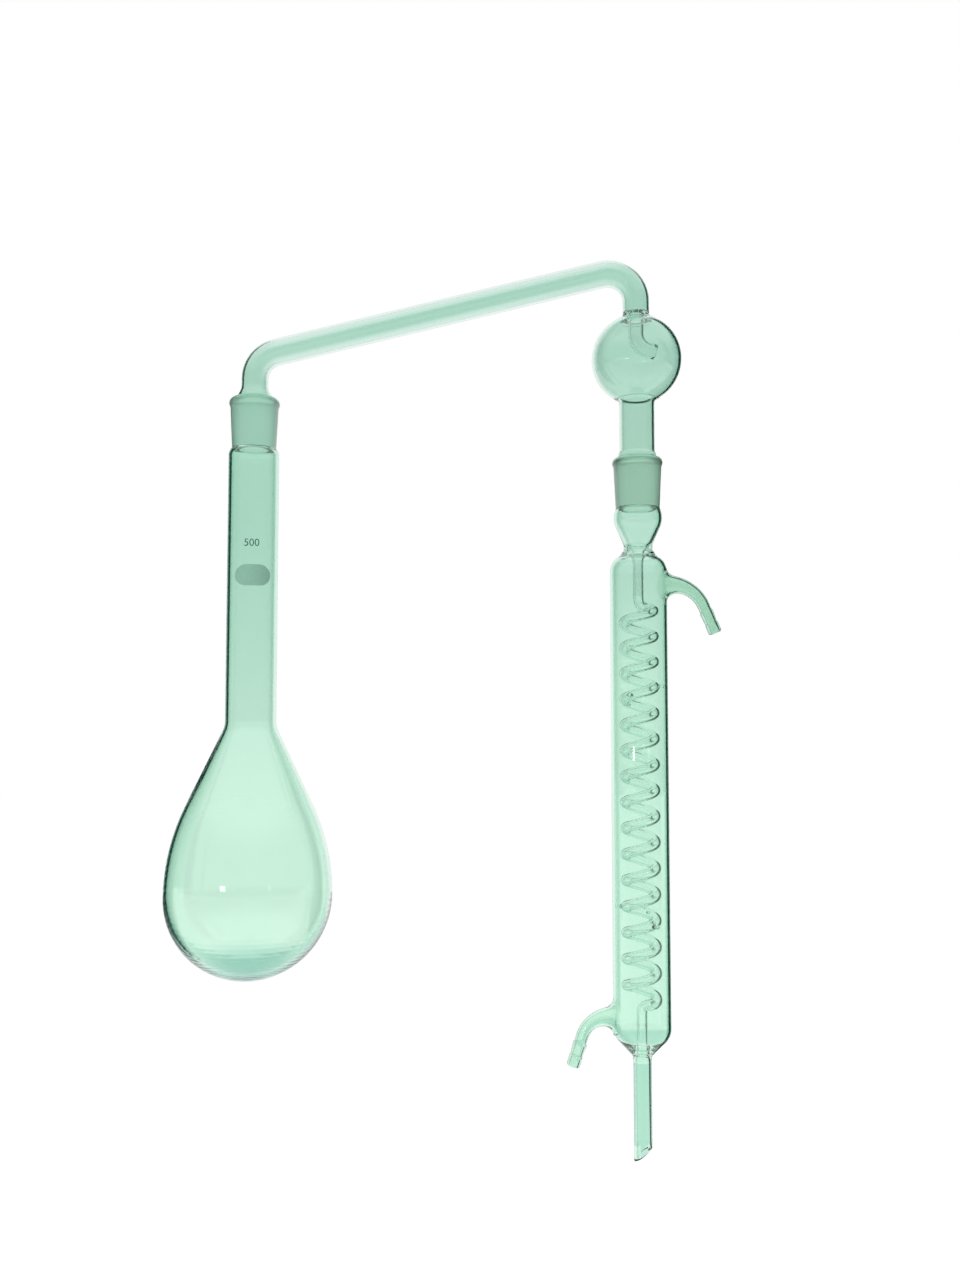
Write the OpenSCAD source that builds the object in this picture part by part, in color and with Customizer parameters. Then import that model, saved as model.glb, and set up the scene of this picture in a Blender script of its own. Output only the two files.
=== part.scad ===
// All-glass distillation apparatus: a long-necked pear flask, a connecting head with a splash bulb,
// and a coil condenser, joined by two ground tapers.
// The origin is on the condenser's axis, where a stand's clamp grips the jacket. +Z is up, the flask
// hangs at -X, and the writing patch faces about -Y. Sizes are in millimetres.

/* [Ground joints] */
// Bore diameter of a ground socket at its rim
joint_d = 24; // [20:0.5:27]
// Height of a ground socket, rim included
joint_h = 30; // [24:1:36]
// Taper of the ground faces on the diameter, one part in this many
joint_taper = 10; // [8:1:16]
// Outside diameter of a socket under its rim
socket_top_d = 28.2; // [27.5:0.1:29]
// Outside diameter of a socket at its base
socket_base_d = 25.7; // [24.5:0.1:27]
// Outside diameter of the beaded rim
bead_d = 29.4; // [28.6:0.1:32]
// Height of the beaded rim
bead_h = 6.7; // [5:0.1:9]
// Wall of a ground cone
cone_wall = 1.6; // [1:0.1:2.2]
// Length of a cone's tip below its socket
cone_tip = 1; // [0.5:0.1:1.5]
// Room between cone and socket for the film that seals them
joint_gap = 0.2; // [0.15:0.01:0.3]
// Clearance on each side of the film
film_clearance = 0.04; // [0.03:0.01:0.05]
// Length of dry taper above and below the film
film_margin = 2; // [1:0.5:6]

/* [Flask] */
// Outside diameter of the neck
neck_d = 29.3; // [28:0.1:36]
// Wall of the neck
neck_wall = 1.8; // [1.2:0.1:2.4]
// Radius of the shoulder under the socket
shoulder_r = 6; // [5:0.1:8]
// Length from the socket's base to the start of the bulb
neck_len = 159.4; // [110:0.1:220]
// Largest outside diameter of the bulb
bulb_d = 95.5; // [80:0.5:120]
// Radius of the bulb's flank in profile
flank_r = 120; // [100:1:140]
// Half angle of the cone between flank and neck
bulb_slope = 25.5; // [22:0.5:30]
// Radius of the curve between bulb and neck
bulb_fillet = 14; // [8:0.5:20]
// Wall of the bulb
bulb_wall = 1.8; // [1.2:0.1:2.4]
// Extra thickness at the middle of the bulb's base
base_extra = 1.4; // [0:0.1:3]
// Height of the seam between the round bulb and its cone above the widest level
cone_seam_h = 41.5; // [34:0.5:48]
// Depth of the seam between the bulb and its base below the widest level
base_seam_drop = 23.5; // [14:0.5:32]
// Width of the enamel writing patch
patch_w = 19.9; // [14:0.1:24]
// Height of the enamel writing patch
patch_h = 12.2; // [8:0.1:13]
// Distance of the patch's middle below the socket's base
patch_drop = 76.1; // [40:0.1:100]
// Turn of the patch about the neck, from facing -Y towards +X
patch_turn = 11; // [-90:1:90]
// Thickness of the fired enamel
patch_thick = 0.15; // [0.1:0.01:0.3]

/* [Connecting head] */
// Distance between the axes of flask and condenser
axis_spacing = 225; // [160:1:300]
// Outside diameter of the vapour tube
tube_d = 15.5; // [13:0.1:18]
// Wall of the vapour tube
tube_wall = 1.3; // [1:0.1:1.8]
// Rise of the vapour tube above the horizontal, in degrees
tube_slope = 13.7; // [8:0.1:20]
// Radius of the tube's bends, at its centre line
tube_bend_r = 16.5; // [11:0.1:20]
// Straight length above the flask's cone
riser_len = 3.5; // [3:0.1:20]
// Straight length between the splash bulb's seal and the bend above it
downtube_len = 7.6; // [5:0.1:25]
// Height of the flare between the flask's cone and the vapour tube
inlet_flare_h = 8.3; // [5:0.1:12]
// Width of the ledge on top of a cone, where its flare starts
cone_ledge = 1.4; // [0.8:0.1:1.6]
// Outside diameter of the splash bulb
splash_d = 52.6; // [44:0.1:70]
// Wall of the splash bulb
splash_wall = 1.5; // [1:0.1:2]
// Height of the splash bulb's collar above its sphere
splash_collar_h = 1.05; // [0.6:0.05:3]
// Outside diameter of the stem under the splash bulb
stem_d = 20.5; // [18.5:0.1:21.5]
// Wall of the stem
stem_wall = 1.4; // [1:0.1:1.8]
// Length of the stem
stem_len = 28.5; // [15:0.1:60]
// Radius of the curve between splash bulb and stem
stem_fillet = 3; // [1.5:0.1:5]
// Height of the flare between the stem and its cone
outlet_flare_h = 4; // [3:0.1:8]
// Outside diameter of the delivery tube inside the splash bulb
delivery_d = 9; // [7:0.1:11]
// Wall of the delivery tube
delivery_wall = 1.2; // [0.8:0.1:1.5]
// Thickness of the delivery tube's sealing flange
delivery_flange_h = 1.5; // [1:0.1:3]
// Straight length of the delivery tube under its flange
delivery_len = 11; // [6:0.1:16]
// Radius of the delivery tube's bend, at its centre line
delivery_bend_r = 10; // [7:0.1:12]
// Angle through which the delivery tube bends
delivery_bend = 75; // [40:1:85]
// Straight length after the bend
delivery_end_len = 4.5; // [2:0.1:6]

/* [Condenser] */
// Length of the jacket between its two seals
jacket_len = 291.2; // [240:0.1:380]
// Height of the clamp's middle above the lower seal
clamp_height = 142.2; // [100:0.1:190]
// Outside diameter of the jacket
jacket_d = 33; // [31.5:0.1:40]
// Wall of the jacket
jacket_wall = 1.5; // [1:0.1:2]
// Radius of the jacket's shoulder and of its lower corner
jacket_round = 10; // [8:0.1:11]
// Outside diameter of the waist where neck and jacket are sealed
waist_d = 16.4; // [15.6:0.1:19]
// Radius of the curve between the shoulder and the waist
waist_fillet = 4; // [2:0.1:5]
// Length of the collar above the shoulder's curve
waist_collar_h = 2.2; // [1:0.1:5]
// Diameter of the bulge under the condenser's socket
bulge_d = 28.1; // [27.4:0.1:31]
// Height of the bulge's middle above the jacket
bulge_rise = 16.6; // [15:0.1:24]
// Wall of the bulged neck
bulge_wall = 1.6; // [1.2:0.1:2]
// Slope of the jacket's base, in degrees from the axis
base_slope = 45; // [40:1:55]
// Outside diameter of the jacket's base at the lower seal
base_d = 10.8; // [10.4:0.1:13]

/* [Coil] */
// Number of full turns
coil_turns = 15; // [8:1:20]
// Diameter of the coil at the tube's centre line
coil_d = 17.1; // [15:0.1:18]
// Outside diameter of the coil's tube
coil_tube_d = 6; // [5:0.1:6.6]
// Wall of the coil's tube
coil_wall = 1; // [0.8:0.1:1.2]
// Length of the feed tube from the jacket's upper seal
feed_len = 23; // [18:0.1:34]
// Height in which the tube swings between the axis and the coil
coil_lead_h = 8.6; // [7:0.1:12]
// Length of the drain tube down to the jacket's lower seal
drain_len = 17.2; // [10:0.1:34]
// Radius of the feed funnel's curve
feed_funnel_r = 8; // [6:0.1:10]
// Diameter of the glass pips that centre the coil
pip_d = 1.8; // [1.2:0.1:2.4]
// Clearance of a pip from the coil and from the jacket
pip_clearance = 0.2; // [0.15:0.01:0.3]
// Full turns between an end of the coil and its set of pips
pip_turns = 3; // [1:1:3]

/* [Water arms] */
// Outside diameter of both arms
arm_d = 7.2; // [6.6:0.1:7.4]
// Wall of both arms
arm_wall = 1.3; // [1:0.1:1.5]
// Diameter of the hole in the jacket under an arm
arm_hole_d = 6; // [5:0.1:6.4]
// Radius of the flare where an arm leaves the jacket
arm_flare = 4; // [2:0.1:4.5]
// Distance of the outlet arm below the jacket's upper seal
outlet_drop = 22.7; // [21:0.1:30]
// Radius of the outlet arm's bend, at its centre line
outlet_bend_r = 20; // [10:0.1:26]
// Angle through which the outlet arm bends down
outlet_bend = 67; // [40:1:85]
// Height of the inlet arm above the jacket's lower seal
inlet_rise = 21.2; // [20:0.1:30]
// Radius of the inlet arm's bend, at its centre line
inlet_bend_r = 15.6; // [9:0.1:24]
// Angle through which the inlet arm bends down
inlet_bend = 72; // [40:1:85]
// Length of a hose nozzle
nozzle_len = 17.4; // [13:0.1:22]
// Diameter of a nozzle's cylindrical land, under its tip
nozzle_land_d = 7.8; // [7.6:0.1:9]
// Length of the land
nozzle_land_len = 5; // [4:0.1:6.5]
// Radius of the rounded tip
nozzle_tip_r = 1.2; // [0.6:0.1:1.8]
// Length of the barb behind the land
nozzle_barb_len = 6; // [4:0.1:6.5]
// How much less the barb's ends measure than the land, on the radius
barb_top_step = 0.05; // [0.03:0.01:0.1]
// Depth of the groove between barb and land
barb_groove = 0.5; // [0.3:0.05:0.7]

/* [Drip tube] */
// Outside diameter of the drip tube
drip_d = 10.3; // [9.8:0.1:10.6]
// Wall of the drip tube
drip_wall = 1.55; // [1:0.05:1.7]
// Length from the jacket's lower seal to the lowest point
drip_len = 58.6; // [35:0.1:120]
// Slant of the drip tip from the horizontal, in degrees
drip_slant = 37.5; // [20:0.5:50]

/* [Hidden] */
$fn = 96;

// Overshoot of a cut past the face it opens
cut = 1;
// Clearance that keeps sealed curved faces from sharing volume
seal_gap = 0.03;
// Length of straight tube inside the wall of a bend that it is fused to
lap = 0.4;
// Step from that bend to the straight tube, outside and in the bore
lap_step = 0.12;

// Colours, as the glass shows them
clear_glass = [0.71, 0.88, 0.81, 0.55];
pale_glass = [0.80, 0.95, 0.88, 0.55];
ground_glass = [0.60, 0.78, 0.70, 0.8];
enamel = [0.58, 0.72, 0.66];
film_colour = [0.66, 0.82, 0.75, 0.5];

// Radii that pieces share
neck_r = neck_d / 2;
tube_r = tube_d / 2;
tube_bore_r = tube_r - tube_wall;
stem_r = stem_d / 2;
stem_bore_r = stem_r - stem_wall;
jacket_r = jacket_d / 2;
jacket_bore_r = jacket_r - jacket_wall;
waist_r = waist_d / 2;
coil_r = coil_d / 2;
coil_tube_r = coil_tube_d / 2;
coil_bore_r = coil_tube_r - coil_wall;
arm_r = arm_d / 2;
arm_bore_r = arm_r - arm_wall;
drip_r = drip_d / 2;
drip_bore_r = drip_r - drip_wall;

// Ground faces, as radii at a height above a socket's base
function socket_bore_r(h) = joint_d / 2 - (joint_h - h) / joint_taper / 2;
function cone_r(h) = socket_bore_r(h) - joint_gap;

// Heights of the condenser, from the clamp
jacket_bottom_z = -clamp_height;
jacket_top_z = jacket_bottom_z + jacket_len;
bulge_z = jacket_top_z + bulge_rise;
bulge_r = bulge_d / 2;
condenser_socket_z = bulge_z + sqrt(pow(bulge_r, 2) - pow(socket_base_d / 2, 2));

// Heights of the connecting head, seated in the condenser
stem_bottom_z = condenser_socket_z + joint_h + outlet_flare_h;
stem_top_z = stem_bottom_z + stem_len;
splash_r = splash_d / 2;
stem_fillet_x = stem_r + stem_fillet;
stem_fillet_rise = sqrt(pow(splash_r + stem_fillet, 2) - pow(stem_fillet_x, 2));
splash_z = stem_top_z + stem_fillet_rise;
splash_top_z = splash_z + sqrt(pow(splash_r, 2) - pow(tube_r, 2)) + splash_collar_h;
downtube_bottom_z = splash_top_z + delivery_flange_h;
right_bend_z = downtube_bottom_z + downtube_len;
left_bend_z = right_bend_z - tan(tube_slope) * (axis_spacing - 2 * tube_bend_r);
riser_bottom_z = left_bend_z - riser_len;

// Heights of the flask, hung on the head
flask_socket_z = riser_bottom_z - inlet_flare_h - joint_h;
bulb_top_z = flask_socket_z - neck_len;
bulb_r = bulb_d / 2;
bulb_corner_z = bulb_top_z - bulb_fillet * tan(bulb_slope / 2);
flank_x = bulb_r - flank_r;
flank_top_r = flank_x + flank_r * cos(bulb_slope);
flank_top_z = bulb_corner_z - (flank_top_r - neck_r) / tan(bulb_slope);
bulb_z = flank_top_z - flank_r * sin(bulb_slope);
cone_seam_z = bulb_z + cone_seam_h;
base_seam_z = bulb_z - base_seam_drop;

// The coil hangs between its feed and drain tubes
coil_start_z = jacket_top_z - feed_len;
coil_end_z = jacket_bottom_z + drain_len;
lead_start_z = coil_start_z - coil_tube_d;
lead_end_z = coil_end_z + coil_tube_d;
coil_top_z = lead_start_z - coil_lead_h;
coil_pitch = (coil_top_z - coil_lead_h - lead_end_z) / coil_turns;
coil_rings = 16;
coil_sides = 6;
lead_rings = 7;
lead_angle = 30;
lead_pull = 7;

// Profile bands, stacked in the half plane of radius and height, from which the round pieces are turned
big = 4 * (bulb_d + axis_spacing);

// Heights are held to a thousandth, so that stacked bands share their edges
function level(z) = round(z * 1000) / 1000;

module straight_band(r_low, z_low, r_high, z_high)
  polygon([[0, level(z_low)], [r_low, level(z_low)], [r_high, level(z_high)], [0, level(z_high)]]);

module arc_band(x, z, r, z_low, z_high) {
  height = level(z_high) - level(z_low);
  intersection() {
    translate([x, z]) circle(r);
    translate([0, level(z_low)]) square([big, height]);
  }
  if (x > 0)
    translate([0, level(z_low)]) square([x, height]);
}

module hollow_band(wall_r, fillet, z, z_low, z_high)
  difference() {
    translate([0, level(z_low)]) square([wall_r + fillet, level(z_high) - level(z_low)]);
    translate([wall_r + fillet, z]) circle(fillet);
  }

// Straight and bent round tube, bored through
module tube(r, bore_r, length)
  rotate_extrude()
    translate([bore_r, 0]) square([r - bore_r, length]);

module tube_bend(r, bore_r, bend_r, from, angle)
  rotate([90, 0, 0])
    rotate_extrude(angle = angle, start = from)
      translate([bend_r, 0])
        difference() {
          circle(r);
          circle(bore_r);
        }

// Ground joint, with its socket's base at height 0
module ground_socket()
  color(ground_glass)
    rotate_extrude()
      difference() {
        union() {
          straight_band(socket_base_d / 2, 0, socket_top_d / 2, joint_h - bead_h / 2);
          arc_band(bead_d / 2 - bead_h / 2, joint_h - bead_h / 2, bead_h / 2, joint_h - bead_h, joint_h);
        }
        straight_band(socket_bore_r(-cut), -cut, socket_bore_r(joint_h + cut), joint_h + cut);
      }

module ground_cone(r, bore_r, flare_h, tail) {
  bore_bend_h = joint_h - bead_h / 2;
  bore_bend_r = cone_r(joint_h) - cone_ledge - (r - bore_r);
  bore_tip_r = min(cone_r(-cone_tip) - cone_wall, bore_bend_r);
  color(ground_glass)
    rotate_extrude()
      difference() {
        union() {
          straight_band(cone_r(-cone_tip), -cone_tip, cone_r(joint_h), joint_h);
          straight_band(cone_r(joint_h) - cone_ledge, joint_h, r, joint_h + flare_h);
          if (tail > 0)
            straight_band(r, joint_h + flare_h, r, joint_h + flare_h + tail);
        }
        straight_band(bore_tip_r, -cone_tip - cut, bore_tip_r, -cone_tip);
        straight_band(bore_tip_r, -cone_tip, bore_bend_r, bore_bend_h);
        straight_band(bore_bend_r, bore_bend_h, bore_r, joint_h + flare_h);
        straight_band(bore_r, joint_h + flare_h, bore_r, joint_h + flare_h + tail + cut);
      }
}

module joint_film() {
  low = film_margin;
  high = joint_h - film_margin;
  color(film_colour)
    rotate_extrude()
      difference() {
        straight_band(socket_bore_r(low) - film_clearance, low, socket_bore_r(high) - film_clearance, high);
        straight_band(cone_r(low - cut) + film_clearance, low - cut,
                      cone_r(high + cut) + film_clearance, high + cut);
      }
}

// Flask

module flask_bulb()
  color(pale_glass)
    translate([-axis_spacing, 0, 0])
      rotate_extrude()
        difference() {
          bulb_space(0, 0);
          bulb_space(bulb_wall, base_extra);
          straight_band(bulb_r + cut, bulb_z - bulb_r - cut, bulb_r + cut, base_seam_z);
          straight_band(bulb_r + cut, cone_seam_z, bulb_r + cut, bulb_top_z + cut);
        }

// The rounded base that the flask would rest on
module flask_base()
  color(pale_glass)
    translate([-axis_spacing, 0, 0])
      rotate_extrude()
        difference() {
          bulb_space(0, 0);
          bulb_space(bulb_wall, base_extra);
          straight_band(bulb_r + cut, base_seam_z, bulb_r + cut, bulb_top_z + cut);
        }

// The part of the bulb that narrows to the neck
module flask_cone()
  color(pale_glass)
    translate([-axis_spacing, 0, 0])
      rotate_extrude()
        difference() {
          bulb_space(0, 0);
          bulb_space(bulb_wall, base_extra);
          straight_band(bulb_r + cut, bulb_z - bulb_r - cut, bulb_r + cut, cone_seam_z);
          straight_band(neck_r - bulb_wall, bulb_top_z, neck_r - bulb_wall, bulb_top_z + cut);
        }

// The bulb's outline, drawn in by its wall, with its round base raised
module bulb_space(wall, raise) {
  round_z = bulb_z + raise;
  round_r = flank_x + sqrt(pow(flank_r - wall, 2) - pow(raise, 2));
  cone_low = [flank_x + (flank_r - wall) * cos(bulb_slope), bulb_z + (flank_r - wall) * sin(bulb_slope)];
  fillet = bulb_fillet + wall;
  cone_high = [
    neck_r + bulb_fillet - fillet * cos(bulb_slope),
    bulb_top_z - fillet * sin(bulb_slope)
  ];
  arc_band(0, round_z, round_r, round_z - round_r, round_z);
  arc_band(flank_x, bulb_z, flank_r - wall, round_z, cone_low[1]);
  straight_band(cone_low[0], cone_low[1], cone_high[0], cone_high[1]);
  hollow_band(neck_r - wall, fillet, bulb_top_z, cone_high[1], bulb_top_z);
}

module flask_neck() {
  shoulder_x = neck_r - shoulder_r;
  shoulder_z = flask_socket_z - sqrt(pow(shoulder_r, 2) - pow(socket_base_d / 2 - shoulder_x, 2));
  inner_r = shoulder_r - neck_wall;
  color(clear_glass)
    translate([-axis_spacing, 0, 0])
      rotate_extrude()
        difference() {
          union() {
            straight_band(neck_r, bulb_top_z, neck_r, shoulder_z);
            arc_band(shoulder_x, shoulder_z, shoulder_r, shoulder_z, flask_socket_z);
          }
          straight_band(neck_r - neck_wall, bulb_top_z - cut, neck_r - neck_wall, shoulder_z);
          arc_band(shoulder_x, shoulder_z, inner_r, shoulder_z, min(shoulder_z + inner_r, flask_socket_z));
          straight_band(socket_bore_r(0), shoulder_z, socket_bore_r(0), flask_socket_z + cut);
        }
}

module flask_socket()
  translate([-axis_spacing, 0, flask_socket_z]) ground_socket();

module writing_patch()
  color(enamel)
    translate([-axis_spacing, 0, flask_socket_z - patch_drop])
      rotate([0, 0, patch_turn])
        intersection() {
          translate([0, 0, -patch_h])
            tube(neck_r + seal_gap + patch_thick, neck_r + seal_gap, 2 * patch_h);
          rotate([90, 0, 0])
            linear_extrude(neck_d) patch_outline();
        }

// An oblong with half-round ends
module patch_outline() {
  middle_w = patch_w - patch_h;
  square([middle_w, patch_h], center = true);
  for (side = [-1, 1])
    translate([side * middle_w / 2, 0]) circle(patch_h / 2);
}

// Connecting head

module inlet_cone()
  translate([-axis_spacing, 0, flask_socket_z]) ground_cone(tube_r, tube_bore_r, inlet_flare_h, riser_len);

// The bends and the run are drawn with the run along +X, then leaned by the slope
module vapour_tube() {
  run_len = (axis_spacing - 2 * tube_bend_r) / cos(tube_slope);
  color(clear_glass)
    translate([tube_bend_r - axis_spacing, 0, left_bend_z])
      rotate([0, -tube_slope, 0]) {
        tube_bend(tube_r, tube_bore_r, tube_bend_r, 90, 90 - tube_slope);
        translate([0, 0, tube_bend_r])
          rotate([0, 90, 0]) tube(tube_r, tube_bore_r, run_len);
        translate([run_len, 0, 0]) tube_bend(tube_r, tube_bore_r, tube_bend_r, -tube_slope, 90 + tube_slope);
      }
}

module splash_bulb() {
  inner_r = splash_r - splash_wall;
  tangent_z = splash_z - splash_r * stem_fillet_rise / (splash_r + stem_fillet);
  color(clear_glass)
    rotate_extrude()
      difference() {
        union() {
          arc_band(0, splash_z, splash_r, tangent_z, splash_z + splash_r);
          hollow_band(stem_r, stem_fillet, stem_top_z, stem_top_z, tangent_z);
          straight_band(tube_r, splash_z, tube_r, splash_top_z);
        }
        arc_band(0, splash_z, inner_r, splash_z - inner_r, splash_z + inner_r);
        straight_band(stem_bore_r, stem_top_z - cut, stem_bore_r, splash_z);
        straight_band(delivery_d / 2 + seal_gap, splash_z, delivery_d / 2 + seal_gap, splash_top_z + cut);
      }
}

// It comes down from the vapour tube, is sealed into the splash bulb's collar and turns aside inside
module delivery_tube() {
  r = delivery_d / 2;
  bore_r = r - delivery_wall;
  bend_z = level(splash_top_z - delivery_len);
  seal_z = splash_top_z + delivery_flange_h / 2;
  end_angle = 180 + delivery_bend;
  end_point = delivery_bend_r * [1 + cos(end_angle), 0, sin(end_angle)];
  color(clear_glass) {
    rotate_extrude()
      difference() {
        union() {
          straight_band(r, bend_z, r, splash_top_z);
          straight_band(tube_r, splash_top_z, tube_r, right_bend_z);
        }
        straight_band(bore_r, bend_z - cut, bore_r, seal_z);
        straight_band(bore_r, seal_z, tube_bore_r, downtube_bottom_z);
        straight_band(tube_bore_r, downtube_bottom_z, tube_bore_r, right_bend_z + cut);
      }
    translate([delivery_bend_r, 0, bend_z]) tube_bend(r, bore_r, delivery_bend_r, 180, delivery_bend);
    translate([0, 0, bend_z] + end_point)
      rotate([0, 180 - delivery_bend, 0])
        translate([0, 0, -lap]) tube(r - lap_step, bore_r + lap_step, delivery_end_len + lap);
  }
}

module bulb_stem()
  color(clear_glass)
    translate([0, 0, stem_bottom_z]) tube(stem_r, stem_bore_r, stem_len);

module outlet_cone()
  translate([0, 0, condenser_socket_z]) ground_cone(stem_r, stem_bore_r, outlet_flare_h, 0);

// Condenser

module condenser_socket()
  translate([0, 0, condenser_socket_z]) ground_socket();

// The point where a line from a point below touches a circle on the axis
function touch_angle(point, z, r) =
  let (offset = point - [0, z])
  atan2(offset[1], offset[0]) + acos(r / norm(offset));
function touch_point(point, z, r) =
  let (angle = touch_angle(point, z, r))
  [r * cos(angle), z + r * sin(angle)];

// Feed funnel's mouth, shared by the neck, the jacket's collar and the funnel
feed_mouth_r = waist_r - jacket_wall;
feed_funnel_x = coil_tube_r + feed_funnel_r;
feed_funnel_h = sqrt(pow(feed_funnel_r, 2) - pow(feed_funnel_x - feed_mouth_r, 2));
feed_bore_r = feed_funnel_x - sqrt(pow(feed_funnel_r + coil_wall, 2) - pow(feed_funnel_h, 2));

module condenser_neck() {
  inner_r = bulge_r - bulge_wall;
  outer_touch = touch_point([waist_r, jacket_top_z], bulge_z, bulge_r);
  inner_touch = touch_point([feed_bore_r, jacket_top_z], bulge_z, inner_r);
  color(clear_glass)
    rotate_extrude()
      difference() {
        union() {
          straight_band(waist_r, jacket_top_z, outer_touch[0], outer_touch[1]);
          arc_band(0, bulge_z, bulge_r, outer_touch[1], condenser_socket_z);
        }
        straight_band(feed_bore_r, jacket_top_z - cut, feed_bore_r, jacket_top_z);
        straight_band(feed_bore_r, jacket_top_z, inner_touch[0], inner_touch[1]);
        arc_band(0, bulge_z, inner_r, inner_touch[1], condenser_socket_z + cut);
      }
}

// Water jacket
round_x = jacket_r - jacket_round;
waist_fillet_x = waist_r + waist_fillet;
waist_fillet_z = jacket_top_z - waist_collar_h;
waist_fillet_rise = sqrt(pow(jacket_round + waist_fillet, 2) - pow(waist_fillet_x - round_x, 2));
shoulder_centre_z = waist_fillet_z - waist_fillet_rise;
base_corner_r = round_x + jacket_round * cos(base_slope);
base_corner_z = jacket_bottom_z + (base_corner_r - base_d / 2) / tan(base_slope);
base_centre_z = base_corner_z + jacket_round * sin(base_slope);
drain_mouth_r = base_d / 2 - jacket_wall + 0.4;
outlet_arm_z = jacket_top_z - outlet_drop;
inlet_arm_z = jacket_bottom_z + inlet_rise;

module jacket() {
  tangent_z = shoulder_centre_z + jacket_round * waist_fillet_rise / (jacket_round + waist_fillet);
  color(pale_glass)
    difference() {
      rotate_extrude()
        difference() {
          union() {
            straight_band(base_d / 2, jacket_bottom_z, base_corner_r, base_corner_z);
            arc_band(round_x, base_centre_z, jacket_round, base_corner_z, base_centre_z);
            straight_band(jacket_r, base_centre_z, jacket_r, shoulder_centre_z);
            arc_band(round_x, shoulder_centre_z, jacket_round, shoulder_centre_z, tangent_z);
            hollow_band(waist_r, waist_fillet, waist_fillet_z, tangent_z, waist_fillet_z);
            straight_band(waist_r, waist_fillet_z, waist_r, jacket_top_z);
          }
          jacket_space();
        }
      translate([0, 0, outlet_arm_z])
        rotate([0, 90, 0]) cylinder(d = arm_hole_d, h = jacket_d);
      translate([0, 0, inlet_arm_z])
        rotate([0, -90, 0]) cylinder(d = arm_hole_d, h = jacket_d);
    }
}

module jacket_space() {
  inner_round = jacket_round - jacket_wall;
  corner_r = round_x + inner_round * cos(base_slope);
  corner_z = base_centre_z - inner_round * sin(base_slope);
  mouth_z = corner_z - (corner_r - drain_mouth_r) / tan(base_slope);
  straight_band(drain_mouth_r, jacket_bottom_z - cut, drain_mouth_r, mouth_z);
  straight_band(drain_mouth_r, mouth_z, corner_r, corner_z);
  arc_band(round_x, base_centre_z, inner_round, corner_z, base_centre_z);
  straight_band(jacket_bore_r, base_centre_z, jacket_bore_r, shoulder_centre_z);
  arc_band(round_x, shoulder_centre_z, inner_round, shoulder_centre_z, shoulder_centre_z + inner_round);
  straight_band(feed_mouth_r + seal_gap, shoulder_centre_z, feed_mouth_r + seal_gap, jacket_top_z + cut);
}

module coil_feed_tube() {
  mouth_z = jacket_top_z - cut;
  funnel_z = mouth_z - feed_funnel_h;
  color(clear_glass)
    rotate_extrude()
      difference() {
        union() {
          straight_band(coil_tube_r, coil_start_z, coil_tube_r, funnel_z);
          hollow_band(coil_tube_r, feed_funnel_r, funnel_z, funnel_z, mouth_z);
          straight_band(feed_mouth_r, mouth_z, feed_mouth_r, jacket_top_z);
        }
        straight_band(coil_bore_r, coil_start_z - cut, coil_bore_r, funnel_z);
        hollow_band(coil_bore_r, feed_funnel_r + coil_wall, funnel_z, funnel_z, mouth_z);
        straight_band(feed_bore_r, mouth_z, feed_bore_r, jacket_top_z + cut);
      }
}

// The drain tube flares to fill the jacket's lower seal
drain_flare_r = 5;

module coil_drain_tube() {
  mouth_r = drain_mouth_r - seal_gap;
  flare_x = coil_tube_r + drain_flare_r;
  flare_h = sqrt(pow(drain_flare_r, 2) - pow(flare_x - mouth_r, 2));
  mouth_z = jacket_bottom_z + cut;
  flare_z = mouth_z + flare_h;
  bore_mouth_r = flare_x - sqrt(pow(drain_flare_r + coil_wall, 2) - pow(flare_h, 2));
  color(clear_glass)
    rotate_extrude()
      difference() {
        union() {
          straight_band(mouth_r, jacket_bottom_z, mouth_r, mouth_z);
          hollow_band(coil_tube_r, drain_flare_r, flare_z, mouth_z, flare_z);
          straight_band(coil_tube_r, flare_z, coil_tube_r, coil_end_z);
        }
        straight_band(bore_mouth_r, jacket_bottom_z - cut, bore_mouth_r, mouth_z);
        hollow_band(coil_bore_r, drain_flare_r + coil_wall, flare_z, mouth_z, flare_z);
        straight_band(coil_bore_r, flare_z, coil_bore_r, coil_end_z + cut);
      }
}

// Coil: a right-handed helix that runs down from its top turn, with a straight end on the axis and a
// lead between that and the helix at each end

function unit(v) = v / norm(v);
function helix_point(turn) =
  [coil_r * cos(-360 * turn), coil_r * sin(-360 * turn), coil_top_z - coil_pitch * turn];
function helix_way(turn) =
  unit([2 * PI * coil_r * sin(-360 * turn), -2 * PI * coil_r * cos(-360 * turn), -coil_pitch]);
function spoke(turn) = [cos(-360 * turn), sin(-360 * turn), 0];

function bezier(p, t) =
  pow(1 - t, 3) * p[0] + 3 * t * pow(1 - t, 2) * p[1] + 3 * t * t * (1 - t) * p[2] + pow(t, 3) * p[3];
function bezier_way(p, t) =
  unit(pow(1 - t, 2) * (p[1] - p[0]) + 2 * t * (1 - t) * (p[2] - p[1]) + t * t * (p[3] - p[2]));

first_turn = -lead_angle / 360;
last_turn = coil_turns + lead_angle / 360;
lead_in = [
  [0, 0, lead_start_z],
  [0, 0, lead_start_z - lead_pull],
  helix_point(first_turn) - lead_pull * helix_way(first_turn),
  helix_point(first_turn)
];
lead_out = [
  helix_point(last_turn),
  helix_point(last_turn) + lead_pull * helix_way(last_turn),
  [0, 0, lead_end_z + lead_pull],
  [0, 0, lead_end_z]
];

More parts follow.
